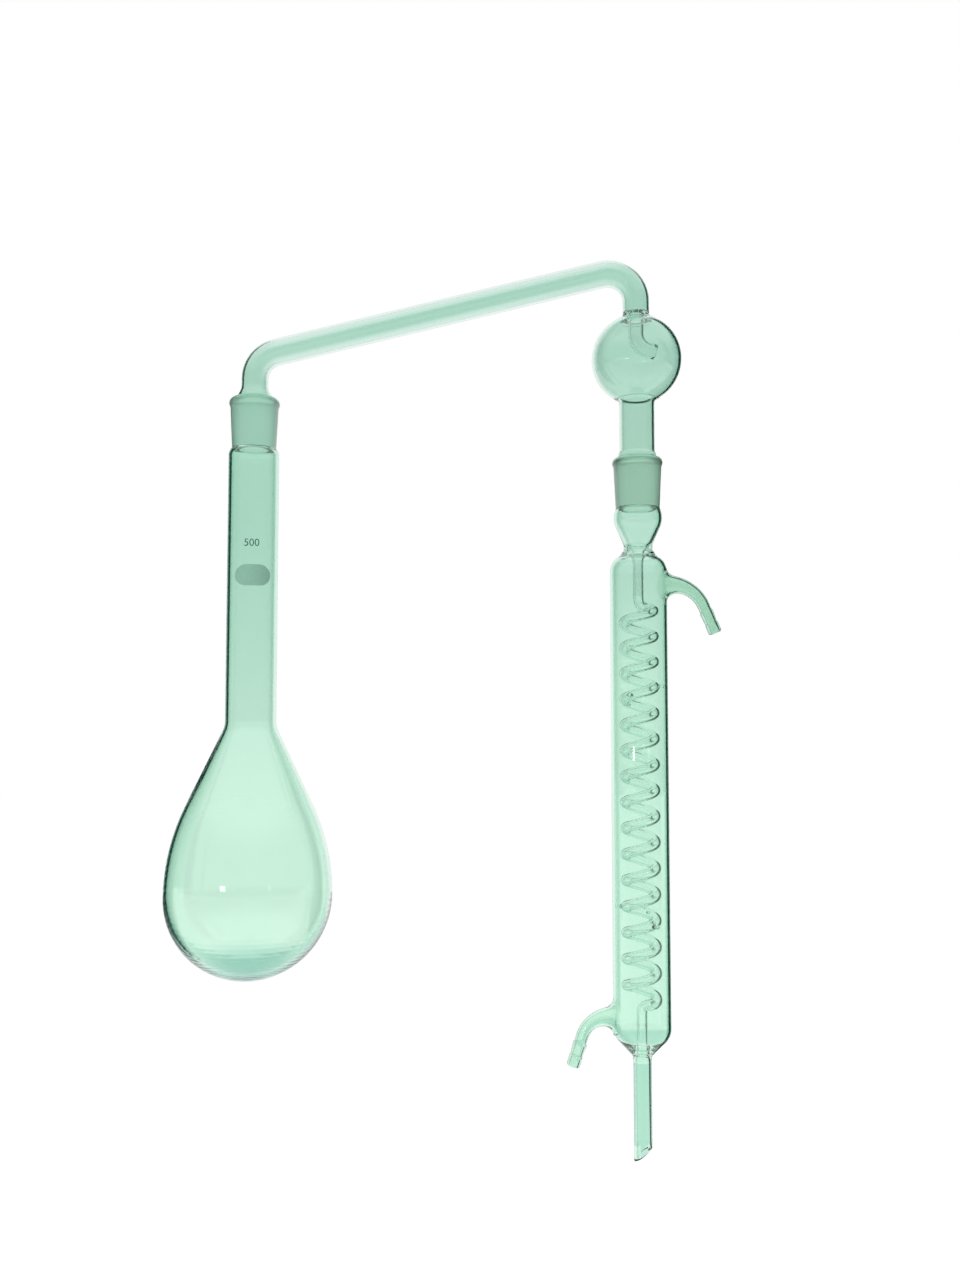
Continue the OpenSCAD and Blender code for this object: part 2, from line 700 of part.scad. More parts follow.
// Each ring of the tube as its centre, its way and the direction of its first side
helix_rings = round((last_turn - first_turn) * coil_rings);
coil_path = [
  [[0, 0, coil_start_z], [0, 0, -1], spoke(first_turn)],
  for (i = [0 : lead_rings - 1]) let (t = i / lead_rings)
    [bezier(lead_in, t), bezier_way(lead_in, t), spoke(first_turn)],
  for (i = [0 : helix_rings]) let (turn = first_turn + (last_turn - first_turn) * i / helix_rings)
    [helix_point(turn), helix_way(turn), spoke(turn)],
  for (i = [1 : lead_rings]) let (t = i / lead_rings)
    [bezier(lead_out, t), bezier_way(lead_out, t), spoke(last_turn)],
  [[0, 0, coil_end_z], [0, 0, -1], spoke(last_turn)]
];

function ring_points(ring, r) =
  let (
    across = unit(ring[2] - (ring[2] * ring[1]) * ring[1]),
    over = cross(ring[1], across)
  )
  [for (k = [0 : coil_sides - 1])
    ring[0] + r * (cos(360 * k / coil_sides) * across + sin(360 * k / coil_sides) * over)];

// The least gap between parts of the tube that are half a turn or more apart along it
coil_gap = min([
  for (i = [0 : len(coil_path) - 1], j = [i + coil_rings / 2 : len(coil_path) - 1])
    if (j < len(coil_path)) norm(coil_path[i][0] - coil_path[j][0])
]) - coil_tube_d;

module coil() {
  count = len(coil_path);
  outside = [for (ring = coil_path) each ring_points(ring, coil_tube_r)];
  inside = [for (ring = coil_path) each ring_points(ring, coil_bore_r)];
  first_inside = count * coil_sides;
  skin = [
    for (i = [0 : count - 2], k = [0 : coil_sides - 1])
      let (
        a = i * coil_sides + k,
        b = i * coil_sides + (k + 1) % coil_sides,
        c = a + coil_sides,
        d = b + coil_sides
      )
      each [[a, b, d], [a, d, c]]
  ];
  bore = [for (face = skin) [face[0], face[2], face[1]] + first_inside * [1, 1, 1]];
  ends = [
    for (k = [0 : coil_sides - 1])
      let (
        a = k,
        b = (k + 1) % coil_sides,
        last = (count - 1) * coil_sides
      )
      each [
        [a, a + first_inside, b + first_inside],
        [a, b + first_inside, b],
        [a + last, b + last, b + last + first_inside],
        [a + last, b + last + first_inside, a + last + first_inside]
      ]
  ];
  echo(coil_least_gap = coil_gap);
  color(clear_glass)
    polyhedron(points = concat(outside, inside), faces = concat(skin, bore, ends), convexity = 10);
}

// Three pips on one turn of the coil, a third of a turn apart
module coil_pips(first)
  color(clear_glass)
    for (k = [0 : 2])
      let (turn = first + k / 3)
      translate([0, 0, helix_point(turn)[2]])
        rotate([0, 90, -360 * turn])
          translate([0, 0, coil_r + coil_tube_r + pip_clearance])
            cylinder(d = pip_d, h = jacket_bore_r - coil_r - coil_tube_r - 2 * pip_clearance);

module upper_coil_pips()
  coil_pips(pip_turns);

module lower_coil_pips()
  coil_pips(coil_turns - pip_turns - 0.5);

// Water arms, drawn towards +X at height 0

arm_start_x = level(jacket_r - 1.1 + arm_flare);

module water_arm(bend_r, bend)
  color(clear_glass)
    difference() {
      union() {
        rotate([0, 90, 0])
          rotate_extrude()
            difference() {
              union() {
                straight_band(arm_r + arm_flare, 0, arm_r + arm_flare, arm_start_x - arm_flare);
                hollow_band(arm_r, arm_flare, arm_start_x, arm_start_x - arm_flare, arm_start_x);
              }
              straight_band(arm_hole_d / 2, 0, arm_hole_d / 2, arm_start_x - arm_flare);
              straight_band(arm_hole_d / 2, arm_start_x - arm_flare, arm_bore_r, arm_start_x);
              straight_band(arm_bore_r, arm_start_x, arm_bore_r, arm_start_x + cut);
            }
        translate([arm_start_x, 0, -bend_r]) tube_bend(arm_r, arm_bore_r, bend_r, 90 - bend, bend);
      }
      cylinder(r = jacket_r + seal_gap, h = 4 * (arm_r + arm_flare), center = true);
    }

module arm_nozzle(bend_r, bend) {
  land_r = nozzle_land_d / 2;
  land_z = nozzle_len - nozzle_tip_r - nozzle_land_len;
  barb_z = land_z - nozzle_barb_len;
  tip_z = nozzle_len - nozzle_tip_r;
  color(clear_glass)
    translate([arm_start_x + bend_r * sin(bend), 0, bend_r * (cos(bend) - 1)])
      rotate([0, 90 + bend, 0])
        rotate_extrude()
          difference() {
            union() {
              straight_band(arm_r, 0, land_r - barb_top_step, barb_z);
              straight_band(land_r - barb_top_step, barb_z, land_r - barb_groove, land_z);
              straight_band(land_r, land_z, land_r, tip_z);
              arc_band(land_r - nozzle_tip_r, tip_z, nozzle_tip_r, tip_z, nozzle_len);
            }
            straight_band(arm_bore_r, -cut, arm_bore_r, nozzle_len + cut);
          }
}

module water_outlet_arm()
  translate([0, 0, outlet_arm_z]) water_arm(outlet_bend_r, outlet_bend);

module water_outlet_nozzle()
  translate([0, 0, outlet_arm_z]) arm_nozzle(outlet_bend_r, outlet_bend);

module water_inlet_arm()
  translate([0, 0, inlet_arm_z])
    mirror([1, 0, 0]) water_arm(inlet_bend_r, inlet_bend);

module water_inlet_nozzle()
  translate([0, 0, inlet_arm_z])
    mirror([1, 0, 0]) arm_nozzle(inlet_bend_r, inlet_bend);

module drip_tube()
  color(clear_glass)
    difference() {
      translate([0, 0, jacket_bottom_z - drip_len]) tube(drip_r, drip_bore_r, drip_len);
      translate([-drip_r, 0, jacket_bottom_z - drip_len])
        rotate([0, -drip_slant, 0])
          translate([0, 0, -drip_d]) cube([4 * drip_d, 2 * drip_d, 2 * drip_d], center = true);
    }

// Films in the two ground joints

module flask_joint_film()
  translate([-axis_spacing, 0, flask_socket_z]) joint_film();

module condenser_joint_film()
  translate([0, 0, condenser_socket_z]) joint_film();

flask_base();
flask_bulb();
flask_cone();
flask_neck();
flask_socket();
writing_patch();
inlet_cone();
vapour_tube();
splash_bulb();
delivery_tube();
bulb_stem();
outlet_cone();
condenser_socket();
condenser_neck();
jacket();
coil_feed_tube();
coil();
coil_drain_tube();
upper_coil_pips();
lower_coil_pips();
water_outlet_arm();
water_outlet_nozzle();
water_inlet_arm();
water_inlet_nozzle();
drip_tube();
flask_joint_film();
condenser_joint_film();
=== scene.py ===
# %% [markdown]
# # All-glass distillation apparatus
# A pear-shaped flask hangs on a connecting head, and the head stands in a coil condenser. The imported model
# gives every solid its place. This lesson rebuilds the glass as smooth closed skins in the same frame, so
# that light bends through real walls, and keeps the solids themselves for the enamel and the joint films.

# %% Load the frame
import bpy
import math
from mathutils import Matrix, Vector


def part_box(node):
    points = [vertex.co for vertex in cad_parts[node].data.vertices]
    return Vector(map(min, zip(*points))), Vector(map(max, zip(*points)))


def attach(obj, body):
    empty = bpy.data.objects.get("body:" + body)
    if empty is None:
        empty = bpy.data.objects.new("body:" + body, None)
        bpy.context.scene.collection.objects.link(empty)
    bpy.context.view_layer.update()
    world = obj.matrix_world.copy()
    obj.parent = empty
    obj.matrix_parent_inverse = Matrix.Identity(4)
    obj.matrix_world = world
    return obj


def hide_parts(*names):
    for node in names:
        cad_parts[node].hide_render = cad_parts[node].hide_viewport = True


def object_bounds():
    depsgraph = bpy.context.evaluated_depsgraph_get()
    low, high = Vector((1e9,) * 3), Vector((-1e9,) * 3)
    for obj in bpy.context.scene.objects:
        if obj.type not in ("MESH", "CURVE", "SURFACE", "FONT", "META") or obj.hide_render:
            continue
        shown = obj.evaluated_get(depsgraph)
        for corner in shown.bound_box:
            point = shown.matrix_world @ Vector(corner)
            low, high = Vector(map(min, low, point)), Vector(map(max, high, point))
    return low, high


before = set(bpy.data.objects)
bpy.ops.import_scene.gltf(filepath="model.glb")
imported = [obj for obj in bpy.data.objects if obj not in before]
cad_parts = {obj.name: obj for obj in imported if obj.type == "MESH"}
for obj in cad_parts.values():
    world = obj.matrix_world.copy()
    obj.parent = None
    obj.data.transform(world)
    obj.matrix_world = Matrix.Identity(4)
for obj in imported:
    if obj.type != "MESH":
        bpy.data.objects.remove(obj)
cad_low, cad_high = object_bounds()
MM = 0.001
print("CAD box, mm:", [round(v / MM, 1) for v in cad_high - cad_low])


def span_z(node):
    """Lowest and highest height of a solid, in millimetres."""
    low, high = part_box(node)
    return low.z / MM, high.z / MM


# %% [markdown]
# ## Camera
# The photograph looks slightly up at the glass from about its middle height. A camera needs a place, a
# tilt and a lens. They were fitted so that both glass axes come out upright and at their true distance,
# which is surer than moving the camera by eye. The frame is taken to be 960 by 1279 pixels.

# %% Camera
FRAME_H = 1279
FOCAL_PX = 1200
SENSOR_W = 36
TILT_UP = 3.83
CAMERA_PLACE = Vector((-92.3, -696, 47.8))
camera_data = bpy.data.cameras.new("camera")
camera = bpy.data.objects.new("camera", camera_data)
bpy.context.collection.objects.link(camera)
camera_data.sensor_width = SENSOR_W
camera_data.lens = SENSOR_W * FOCAL_PX / FRAME_H
camera_data.clip_start = 0.01
camera_data.clip_end = 100
camera.location = CAMERA_PLACE * MM
camera.rotation_euler = (math.radians(90 + TILT_UP), 0, 0)
bpy.context.scene.camera = camera
print("lens, mm:", round(camera_data.lens, 2))

# %% [markdown]
# ## Shader nodes
# The world and every finish are small networks of nodes. A few helpers keep them readable: one joins two
# nodes or sets a plain value, one makes a smooth step, one does a sum, one mixes two colours, and one gives
# the place of a point. A count of reflections tells light that went straight through the glass from light
# that a wall threw back.

# %% Node helpers
def link(tree, source, target):
    """Joins an output to a socket, or sets a plain value there."""
    if isinstance(source, bpy.types.NodeSocket):
        tree.links.new(source, target)
    else:
        target.default_value = source


def ramp(tree, value, low, high, start=0.0, end=1.0):
    """A smooth step from start to end while value goes from low to high."""
    node = tree.nodes.new("ShaderNodeMapRange")
    node.interpolation_type = "SMOOTHSTEP"
    node.inputs["From Min"].default_value = low
    node.inputs["From Max"].default_value = high
    node.inputs["To Min"].default_value = start
    node.inputs["To Max"].default_value = end
    link(tree, value, node.inputs["Value"])
    return node.outputs["Result"]


def math_node(tree, operation, a, b):
    """One sum, product or comparison of two values."""
    node = tree.nodes.new("ShaderNodeMath")
    node.operation = operation
    link(tree, a, node.inputs[0])
    link(tree, b, node.inputs[1])
    return node.outputs[0]


def mix_colour(tree, factor, a, b):
    """Goes from colour a to colour b while factor goes from 0 to 1."""
    node = tree.nodes.new("ShaderNodeMix")
    node.data_type = "RGBA"
    first, second = [s for s in node.inputs if s.type == "RGBA"]
    link(tree, factor, node.inputs["Factor"])
    link(tree, a, first)
    link(tree, b, second)
    return [s for s in node.outputs if s.type == "RGBA"][0]


def place_of(tree, kind="Object"):
    """The place of a point as a whole, and its X, Y and Z."""
    place = tree.nodes.new("ShaderNodeTexCoord").outputs[kind]
    axes = tree.nodes.new("ShaderNodeSeparateXYZ")
    link(tree, place, axes.inputs[0])
    return place, axes.outputs


def thrown_back(tree, rays):
    """1 for a ray that was reflected at least once on its way, else 0."""
    return math_node(tree, "MINIMUM", rays.outputs["Glossy Depth"], 1.0)


# %% [markdown]
# ## Studio
# Clear glass has hardly any colour of its own: it shows what is behind and beside it. Product photographers
# put it before a bright screen and stand dark cards at both sides, out of the picture. Light that a wall
# throws back then comes from a card, and draws the edge as a dark line. The world here is the bright
# screen: rays from the camera, and rays that met glass, see plain white, and the rest get a soft even
# light. Rays that were thrown back find the front of the room dim, as it is where the photographer stands.
# Steep rays find it bright again.

# %% World
WHITE = (1, 1, 1, 1)
SOFT_LIGHT = (0.82, 0.84, 0.83, 1)
DIM_FRONT = (0.05, 0.12, 0.09, 1)
SIDE_TO_BACK = (0.2, 0.9)
LEVEL_TO_STEEP = (0.3, 0.7)
DIM_ABOVE = 0.1
scene = bpy.context.scene
scene.view_settings.view_transform = "Standard"
scene.cycles.max_bounces = 40
scene.cycles.transmission_bounces = 40
scene.cycles.glossy_bounces = 12
scene.cycles.transparent_max_bounces = 24

world = bpy.data.worlds.new("studio")
world.use_nodes = True
scene.world = world
tree = world.node_tree
tree.nodes.clear()
rays = tree.nodes.new("ShaderNodeLightPath")
sees_white = math_node(tree, "MAXIMUM", rays.outputs["Is Glossy Ray"], rays.outputs["Is Transmission Ray"])
sees_white = math_node(tree, "MAXIMUM", rays.outputs["Is Camera Ray"], sees_white)
seen = mix_colour(tree, sees_white, SOFT_LIGHT, WHITE)
_, axes = place_of(tree, "Generated")
dim = ramp(tree, axes["Y"], *SIDE_TO_BACK, 1.0, 0.0)
dim = math_node(tree, "MULTIPLY", dim, ramp(tree, axes["Z"], *LEVEL_TO_STEEP, 1.0, DIM_ABOVE))
dim = math_node(tree, "MULTIPLY", dim, thrown_back(tree, rays))
seen = mix_colour(tree, dim, seen, DIM_FRONT)
background = tree.nodes.new("ShaderNodeBackground")
background.inputs["Strength"].default_value = 1
link(tree, seen, background.inputs["Color"])
world_out = tree.nodes.new("ShaderNodeOutputWorld")
link(tree, background.outputs[0], world_out.inputs["Surface"])
print("world nodes:", len(tree.nodes))

# %% [markdown]
# ## Floor, cards and lamps
# The apparatus is held by a clamp, so nothing stands on the floor. The floor lies well below the drip tip,
# pale and plain, and glows for the camera, so that it fades into the white behind while it still takes a
# shadow. A strip of it behind the apparatus shows darker through the glass, as a table's edge does. A dark
# card stands behind the glass at each side. Only rays that a glass wall threw back can see it, so it draws
# the edges, leaves the glass clear from other sides and throws no shadow. A broad soft lamp lights the
# scene, and two small ones give the round glass its glints. Lengths of the stage are in metres, and those
# of the glass further on are in millimetres.

# %% Floor
FLOOR_DROP = 0.17
FLOOR_HALF = 6
FLOOR_PAINT = (0.22, 0.222, 0.221, 1)
FLOOR_GLOW = 0.82
STRIP_TINT = (0.6, 0.76, 0.74, 1)
STRIP_NEAR, STRIP_FAR = (0.25, 0.45), (0.86, 0.94)
FRONT_TO_UNDER = (-1.3, -0.1)
floor_z = cad_low.z - FLOOR_DROP


def sheet(name, corners, material):
    """A flat piece of the stage, which isn't part of the apparatus."""
    mesh = bpy.data.meshes.new(name)
    mesh.from_pydata(corners, [], [range(len(corners))])
    mesh.materials.append(material)
    piece = bpy.data.objects.new(name, mesh)
    bpy.context.collection.objects.link(piece)
    return piece


def floor_finish():
    """Pale paint that also glows for the camera and for rays from glass."""
    material = bpy.data.materials.new("pale_floor")
    material.use_nodes = True
    tree = material.node_tree
    tree.nodes.clear()
    paint = tree.nodes.new("ShaderNodeBsdfDiffuse")
    paint.inputs["Color"].default_value = FLOOR_PAINT
    _, axes = place_of(tree)
    rays = tree.nodes.new("ShaderNodeLightPath")
    through = rays.outputs["Is Transmission Ray"]
    strip = ramp(tree, axes["Y"], *STRIP_FAR, 1.0, 0.0)
    strip = math_node(tree, "MULTIPLY", strip, ramp(tree, axes["Y"], *STRIP_NEAR))
    strip = math_node(tree, "MULTIPLY", strip, through)
    glow = tree.nodes.new("ShaderNodeEmission")
    link(tree, mix_colour(tree, strip, WHITE, STRIP_TINT), glow.inputs["Color"])
    mirrored = ramp(tree, axes["Y"], *FRONT_TO_UNDER)
    mirrored = math_node(tree, "MULTIPLY", mirrored, rays.outputs["Is Glossy Ray"])
    seen = math_node(tree, "MAXIMUM", rays.outputs["Is Camera Ray"], through)
    seen = math_node(tree, "MAXIMUM", seen, mirrored)
    link(tree, math_node(tree, "MULTIPLY", seen, FLOOR_GLOW), glow.inputs["Strength"])
    both = tree.nodes.new("ShaderNodeAddShader")
    link(tree, paint.outputs[0], both.inputs[0])
    link(tree, glow.outputs[0], both.inputs[1])
    out = tree.nodes.new("ShaderNodeOutputMaterial")
    link(tree, both.outputs[0], out.inputs["Surface"])
    return material


corners = [(x * FLOOR_HALF, y * FLOOR_HALF, floor_z) for x, y in ((-1, -1), (1, -1), (1, 1), (-1, 1))]
sheet("floor", corners, floor_finish())
print("floor at", round(floor_z / MM, 1), "mm")

# %% Cards
CARD_PAINT = (0.012, 0.085, 0.062, 1)
CARD_Y, CARD_TOP, CARD_BEND_Z = 0.22, 0.62, 0.1
RIGHT_GAP, RIGHT_END = 0.05, 0.7
LEFT_LOW_GAP, LEFT_HIGH_GAP, LEFT_END = 0.18, 0.07, -0.95


def card_finish():
    """Dark for rays that a glass wall threw back, and not there for those that went straight through."""
    material = bpy.data.materials.new("dark_card")
    material.use_nodes = True
    tree = material.node_tree
    tree.nodes.clear()
    paint = tree.nodes.new("ShaderNodeBsdfDiffuse")
    paint.inputs["Color"].default_value = CARD_PAINT
    clear = tree.nodes.new("ShaderNodeBsdfTransparent")
    rays = tree.nodes.new("ShaderNodeLightPath")
    either = tree.nodes.new("ShaderNodeMixShader")
    link(tree, thrown_back(tree, rays), either.inputs["Fac"])
    link(tree, clear.outputs[0], either.inputs[1])
    link(tree, paint.outputs[0], either.inputs[2])
    out = tree.nodes.new("ShaderNodeOutputMaterial")
    link(tree, either.outputs[0], out.inputs["Surface"])
    return material


def card(name, low_x, high_x, end_x, material):
    """An upright sheet whose inner edge leans from one place at the floor to another at the bend."""
    corners = [(low_x, CARD_Y, floor_z), (end_x, CARD_Y, floor_z), (end_x, CARD_Y, CARD_TOP),
               (high_x, CARD_Y, CARD_TOP), (high_x, CARD_Y, CARD_BEND_Z)]
    piece = sheet(name, corners, material)
    piece.visible_camera = False
    piece.visible_diffuse = False
    piece.visible_shadow = False


dark_card = card_finish()
card("right_card", cad_high.x + RIGHT_GAP, cad_high.x + RIGHT_GAP, RIGHT_END, dark_card)
card("left_card", cad_low.x - LEFT_LOW_GAP, cad_low.x - LEFT_HIGH_GAP, LEFT_END, dark_card)
print("cards at", CARD_Y / MM, "mm behind the axes")

# %% Lamps
KEY_OFFSET, KEY_SIZE, KEY_POWER = Vector((-0.4, -1.2, 0.9)), (0.9, 0.9), 12
BULB_MIDDLE = Vector((-0.225, 0, -0.05))
LEFT_OFFSET, LEFT_SIZE, LEFT_POWER = Vector((-0.51, -1.2, 0.04)), (0.16, 0.025), 0.15
RIGHT_OFFSET, RIGHT_SIZE, RIGHT_POWER = Vector((0.80, -1.02, 0.04)), (0.05, 0.03), 0.015


def soft_lamp(name, aim, offset, size, power):
    """A flat lamp at an offset from the point that it faces."""
    lamp_data = bpy.data.lights.new(name, "AREA")
    lamp_data.shape = "RECTANGLE"
    lamp_data.size, lamp_data.size_y = size
    lamp_data.energy = power
    lamp = bpy.data.objects.new(name, lamp_data)
    lamp.location = aim + offset
    lamp.rotation_euler = (-offset).to_track_quat("-Z", "Y").to_euler()
    bpy.context.collection.objects.link(lamp)
    return lamp


key_lamp = soft_lamp("key_lamp", (cad_low + cad_high) / 2, KEY_OFFSET, KEY_SIZE, KEY_POWER)
key_lamp.visible_glossy = False
key_lamp.visible_transmission = False
soft_lamp("left_glint", BULB_MIDDLE, LEFT_OFFSET, LEFT_SIZE, LEFT_POWER)
soft_lamp("right_glint", BULB_MIDDLE, RIGHT_OFFSET, RIGHT_SIZE, RIGHT_POWER)
print("lamps:", [lamp.name for lamp in bpy.data.lights])

# %% [markdown]
# ## Glass finish
# One wall of this glass takes out a little red and blue, which leaves a mint green. A Principled shader
# with full transmission gives clear glass whose colour is taken at each face. The blown bulb is thinner and
# paler than the drawn tubes, so the tint follows the height by a ramp, and a slow cloud keeps it from being
# quite even. Where a ray enters at a slant it stays in the wall for longer, so the tint is deeper there. A
# thin rim at the very edge is painted shade, a dark line for the dark reflections at glass edges. The
# sloping tube is the other way round, with painted highlights: it is paler away from its middle line,
# between two soft ends, for a bright ceiling and floor reflected in it. The base of the bulb is thick and
# has a tint of its own, and inner tubes are nearly colourless. The ground faces are matt, with a fine grain
# in a bump. They are wet, and so they and the bore behind them bend light less than dry glass.

# %% Glass finish
GLASS_IOR, INNER_IOR, WETTED_IOR = 1.47, 1.52, 1.12
CLOUD_SCALE, CLOUD_SHARE, CLOUD_TINT = 9, 0.05, (0.93, 1.0, 0.96, 1)
NOISE_RANGE = (0.35, 0.65)
SLANT_FACING, SHEEN_FACING, SHADE_RIM_FACING = (0.3, 0.65), (0.05, 0.15), (0.62, 0.92)
SHEEN_FADE, THICK_FADE = 22, 14
FROST_SCALE, FROST_DEPTH = 900, 0.0002


def grained(tree, shader, place, scale, strength, depth):
    """Puts a fine grain on a surface and gives back its noise."""
    noise = tree.nodes.new("ShaderNodeTexNoise")
    noise.inputs["Scale"].default_value = scale
    link(tree, place, noise.inputs["Vector"])
    bump = tree.nodes.new("ShaderNodeBump")
    bump.inputs["Strength"].default_value = strength
    bump.inputs["Distance"].default_value = depth
    link(tree, noise.outputs["Fac"], bump.inputs["Height"])
    link(tree, bump.outputs["Normal"], shader.inputs["Normal"])
    return noise.outputs["Fac"]


def deeper(tint, depth):
    """A tint after another length of way through the glass."""
    return (*(c ** depth for c in tint), 1)


def glass(name, tint_low, tint_high, z_low, z_high, roughness=0.0, grain=0.0, depth=1.0, ior=GLASS_IOR,
          sheen_span=None, thick=None, rim=None):
    """Clear glass that goes from one tint to another between two heights, in millimetres."""
    material = bpy.data.materials.new(name)
    material.use_nodes = True
    tree = material.node_tree
    shader = tree.nodes["Principled BSDF"]
    shader.inputs["IOR"].default_value = ior
    shader.inputs["Transmission Weight"].default_value = 1
    shader.inputs["Roughness"].default_value = roughness
    place, axes = place_of(tree)
    height = ramp(tree, axes["Z"], z_low * MM, z_high * MM)
    tint = mix_colour(tree, height, (*tint_low, 1), (*tint_high, 1))
    cloud = tree.nodes.new("ShaderNodeTexNoise")
    cloud.inputs["Scale"].default_value = CLOUD_SCALE
    cloud.inputs["Detail"].default_value = 1
    link(tree, place, cloud.inputs["Vector"])
    drift = ramp(tree, cloud.outputs["Fac"], *NOISE_RANGE, 0.0, CLOUD_SHARE)
    tint = mix_colour(tree, drift, tint, CLOUD_TINT)
    lean = tree.nodes.new("ShaderNodeLayerWeight")
    lean.inputs["Blend"].default_value = 0.5
    facing = lean.outputs["Facing"]
    # Painted highlight: on the sloping tube the tint turns paler away from its middle line, between two soft
    # ends, for a bright ceiling and floor reflected in it.
    if sheen_span:
        begin, end = sheen_span
        slant_sheen_mask = ramp(tree, facing, *SHEEN_FACING)
        starts = ramp(tree, axes["X"], begin * MM, (begin + SHEEN_FADE) * MM)
        stops = ramp(tree, axes["X"], (end - SHEEN_FADE) * MM, end * MM, 1.0, 0.0)
        slant_sheen_mask = math_node(tree, "MULTIPLY", slant_sheen_mask, math_node(tree, "MULTIPLY", starts, stops))
    else:
        slant_sheen_mask = ramp(tree, facing, *SLANT_FACING)
    # A deeper tint for a slant, and a paler painted highlight on the sloping tube, whose depth is below one.
    slant_sheen_tint = mix_colour(tree, height, deeper(tint_low, depth), deeper(tint_high, depth))
    tint = mix_colour(tree, slant_sheen_mask, tint, slant_sheen_tint)
    if thick:
        thick_tint, thick_top = thick
        under = ramp(tree, axes["Z"], (thick_top - THICK_FADE) * MM, thick_top * MM, 1.0, 0.0)
        tint = mix_colour(tree, under, tint, (*thick_tint, 1))
    # Painted shade: a thin dark rim line where the wall turns away, for the dark reflections at glass edges.
    if rim:
        tint = mix_colour(tree, ramp(tree, facing, *SHADE_RIM_FACING), tint, (*rim, 1))
    link(tree, tint, shader.inputs["Base Color"])
    if grain:
        grained(tree, shader, place, FROST_SCALE, grain, FROST_DEPTH)
    return material


# %% Tints
# Every rim colour below is painted shade: a dark line at the edges of the glass.
TUBE = ((0.66, 0.845, 0.757), (0.64, 0.835, 0.75), 200, 300)
PALE_SHADE_RIM = (0.5, 0.74, 0.64)
flask_tint = glass("flask_glass", (0.795, 0.96, 0.87), (0.665, 0.87, 0.775), -60, 190, depth=1.6,
                   thick=((0.37, 0.67, 0.593), -84), rim=PALE_SHADE_RIM)
tube_tint = glass("tube_glass", *TUBE)
# Painted highlight: a depth below one makes the sloping tube paler away from its middle line.
sheen_slope_tint = glass("sheen_slope_glass", *TUBE, depth=0.45, sheen_span=(-230, 0), rim=(0.3, 0.52, 0.43))
jacket_tint = glass("jacket_glass", (0.77, 0.96, 0.86), (0.70, 0.885, 0.80), 60, 155, depth=1.8,
                    rim=PALE_SHADE_RIM)
arm_tint = glass("arm_glass", (0.74, 0.94, 0.83), (0.6, 0.82, 0.7), -60, 60, depth=2.2,
                 rim=(0.22, 0.48, 0.38))
clear_tint = glass("clear_glass", (0.99, 0.996, 0.993), (0.98, 0.992, 0.987), -140, 290, ior=INNER_IOR,
                   rim=(0.5, 0.7, 0.61))
coil_tint = glass("coil_glass", (0.985, 0.994, 0.99), (0.98, 0.992, 0.987), -140, 140, depth=2,
                  rim=(0.2, 0.42, 0.33))
ground_tint = glass("ground_glass", (0.887, 0.903, 0.883), (0.938, 0.949, 0.951), 195, 212,
                    roughness=0.7, grain=0.2, ior=WETTED_IOR)
bore_tint = glass("bore_glass", *TUBE, ior=WETTED_IOR)
print("glass finishes:", [m.name for m in bpy.data.materials if m.name.endswith("glass")])

# %% [markdown]
# ## Outlines and skins
# Glass has to be a closed skin with an outside and an inside, or light can't tell when it enters and
# leaves. A lathe (Blender's Screw modifier) could turn a profile, but the tubes here also bend and wind. So
# a skin is made as a chain of rings: a profile gives rings round an upright axis, a bend gives rings that
# lean, and neighbouring rings are joined by quads. The chain runs over the outside and back through the
# bore.

# %% Outline helpers
HOLD = 0.8


def arc(x, z, radius, start, end, step=5.0):
    """Points on an arc in the half plane of radius and height, angles in degrees."""
    count = max(2, math.ceil(abs(end - start) / step))
    turns = [math.radians(start + (end - start) * i / count) for i in range(count + 1)]
    return [(x + radius * math.cos(t), z + radius * math.sin(t)) for t in turns]


def rounded(corners, step=15.0):
    """A line through corners (radius, height, rounding), with each corner rounded as asked."""
    points = []
    for i, corner in enumerate(corners):
        here = Vector(corner[:2])
        size = corner[2] if len(corner) > 2 else 0
        if size == 0 or i in (0, len(corners) - 1):
            points.append(tuple(here))
            continue
        before = Vector(corners[i - 1][:2]) - here
        after = Vector(corners[i + 1][:2]) - here
        opening = before.angle(after)
        reach = min(size / math.tan(opening / 2), 0.49 * before.length, 0.49 * after.length)
        size = reach * math.tan(opening / 2)
        first = here + before.normalized() * reach
        last = here + after.normalized() * reach
        inward = (before.normalized() + after.normalized()).normalized()
        centre = here + inward * (size / math.sin(opening / 2))
        sweep = math.pi - opening
        count = max(2, math.ceil(math.degrees(sweep) / step))
        start = first - centre
        turn = 1 if start.cross(last - centre) > 0 else -1
        for k in range(count + 1):
            points.append(tuple(centre + Matrix.Rotation(turn * sweep * k / count, 2) @ start))
    return points


def spaced(points, longest=10.0):
    """Cuts long straight stretches into shorter ones."""
    out = [points[0]]
    for a, b in zip(points, points[1:]):
        count = math.ceil((Vector(b) - Vector(a)).length / longest)
        out += [tuple(Vector(a).lerp(Vector(b), i / count)) for i in range(1, count)] + [b]
    return out


def held(points):
    """Adds points near the ends of long straight stretches, which keeps their shading straight."""
    out = [points[0]]
    for a, b in zip(points, points[1:]):
        way = Vector(b) - Vector(a)
        if way.length > 4 * HOLD:
            out.append(tuple(Vector(a) + way.normalized() * HOLD))
            out.append(tuple(Vector(b) - way.normalized() * HOLD))
        out.append(b)
    return out


print("a rounded corner has", len(rounded([(0, 0), (10, 0, 5), (10, 10)])) - 2, "points")

# %% Ring helpers
SIDES = 96
SHARP = 42


def ring(centre, across, over, radius, sides=SIDES):
    """Points on a circle, given its middle and two directions in its plane."""
    turns = [2 * math.pi * k / sides for k in range(sides)]
    return [centre + radius * (math.cos(t) * across + math.sin(t) * over) for t in turns]


def turned(points, axis_x=0.0, side=1, finish=0):
    """Rings round an upright axis, one for each point of a profile."""
    across, over = Vector((side, 0, 0)), Vector((0, 1, 0))
    return [(ring(Vector((axis_x, 0, z)), across, over, r), finish) for r, z in points]


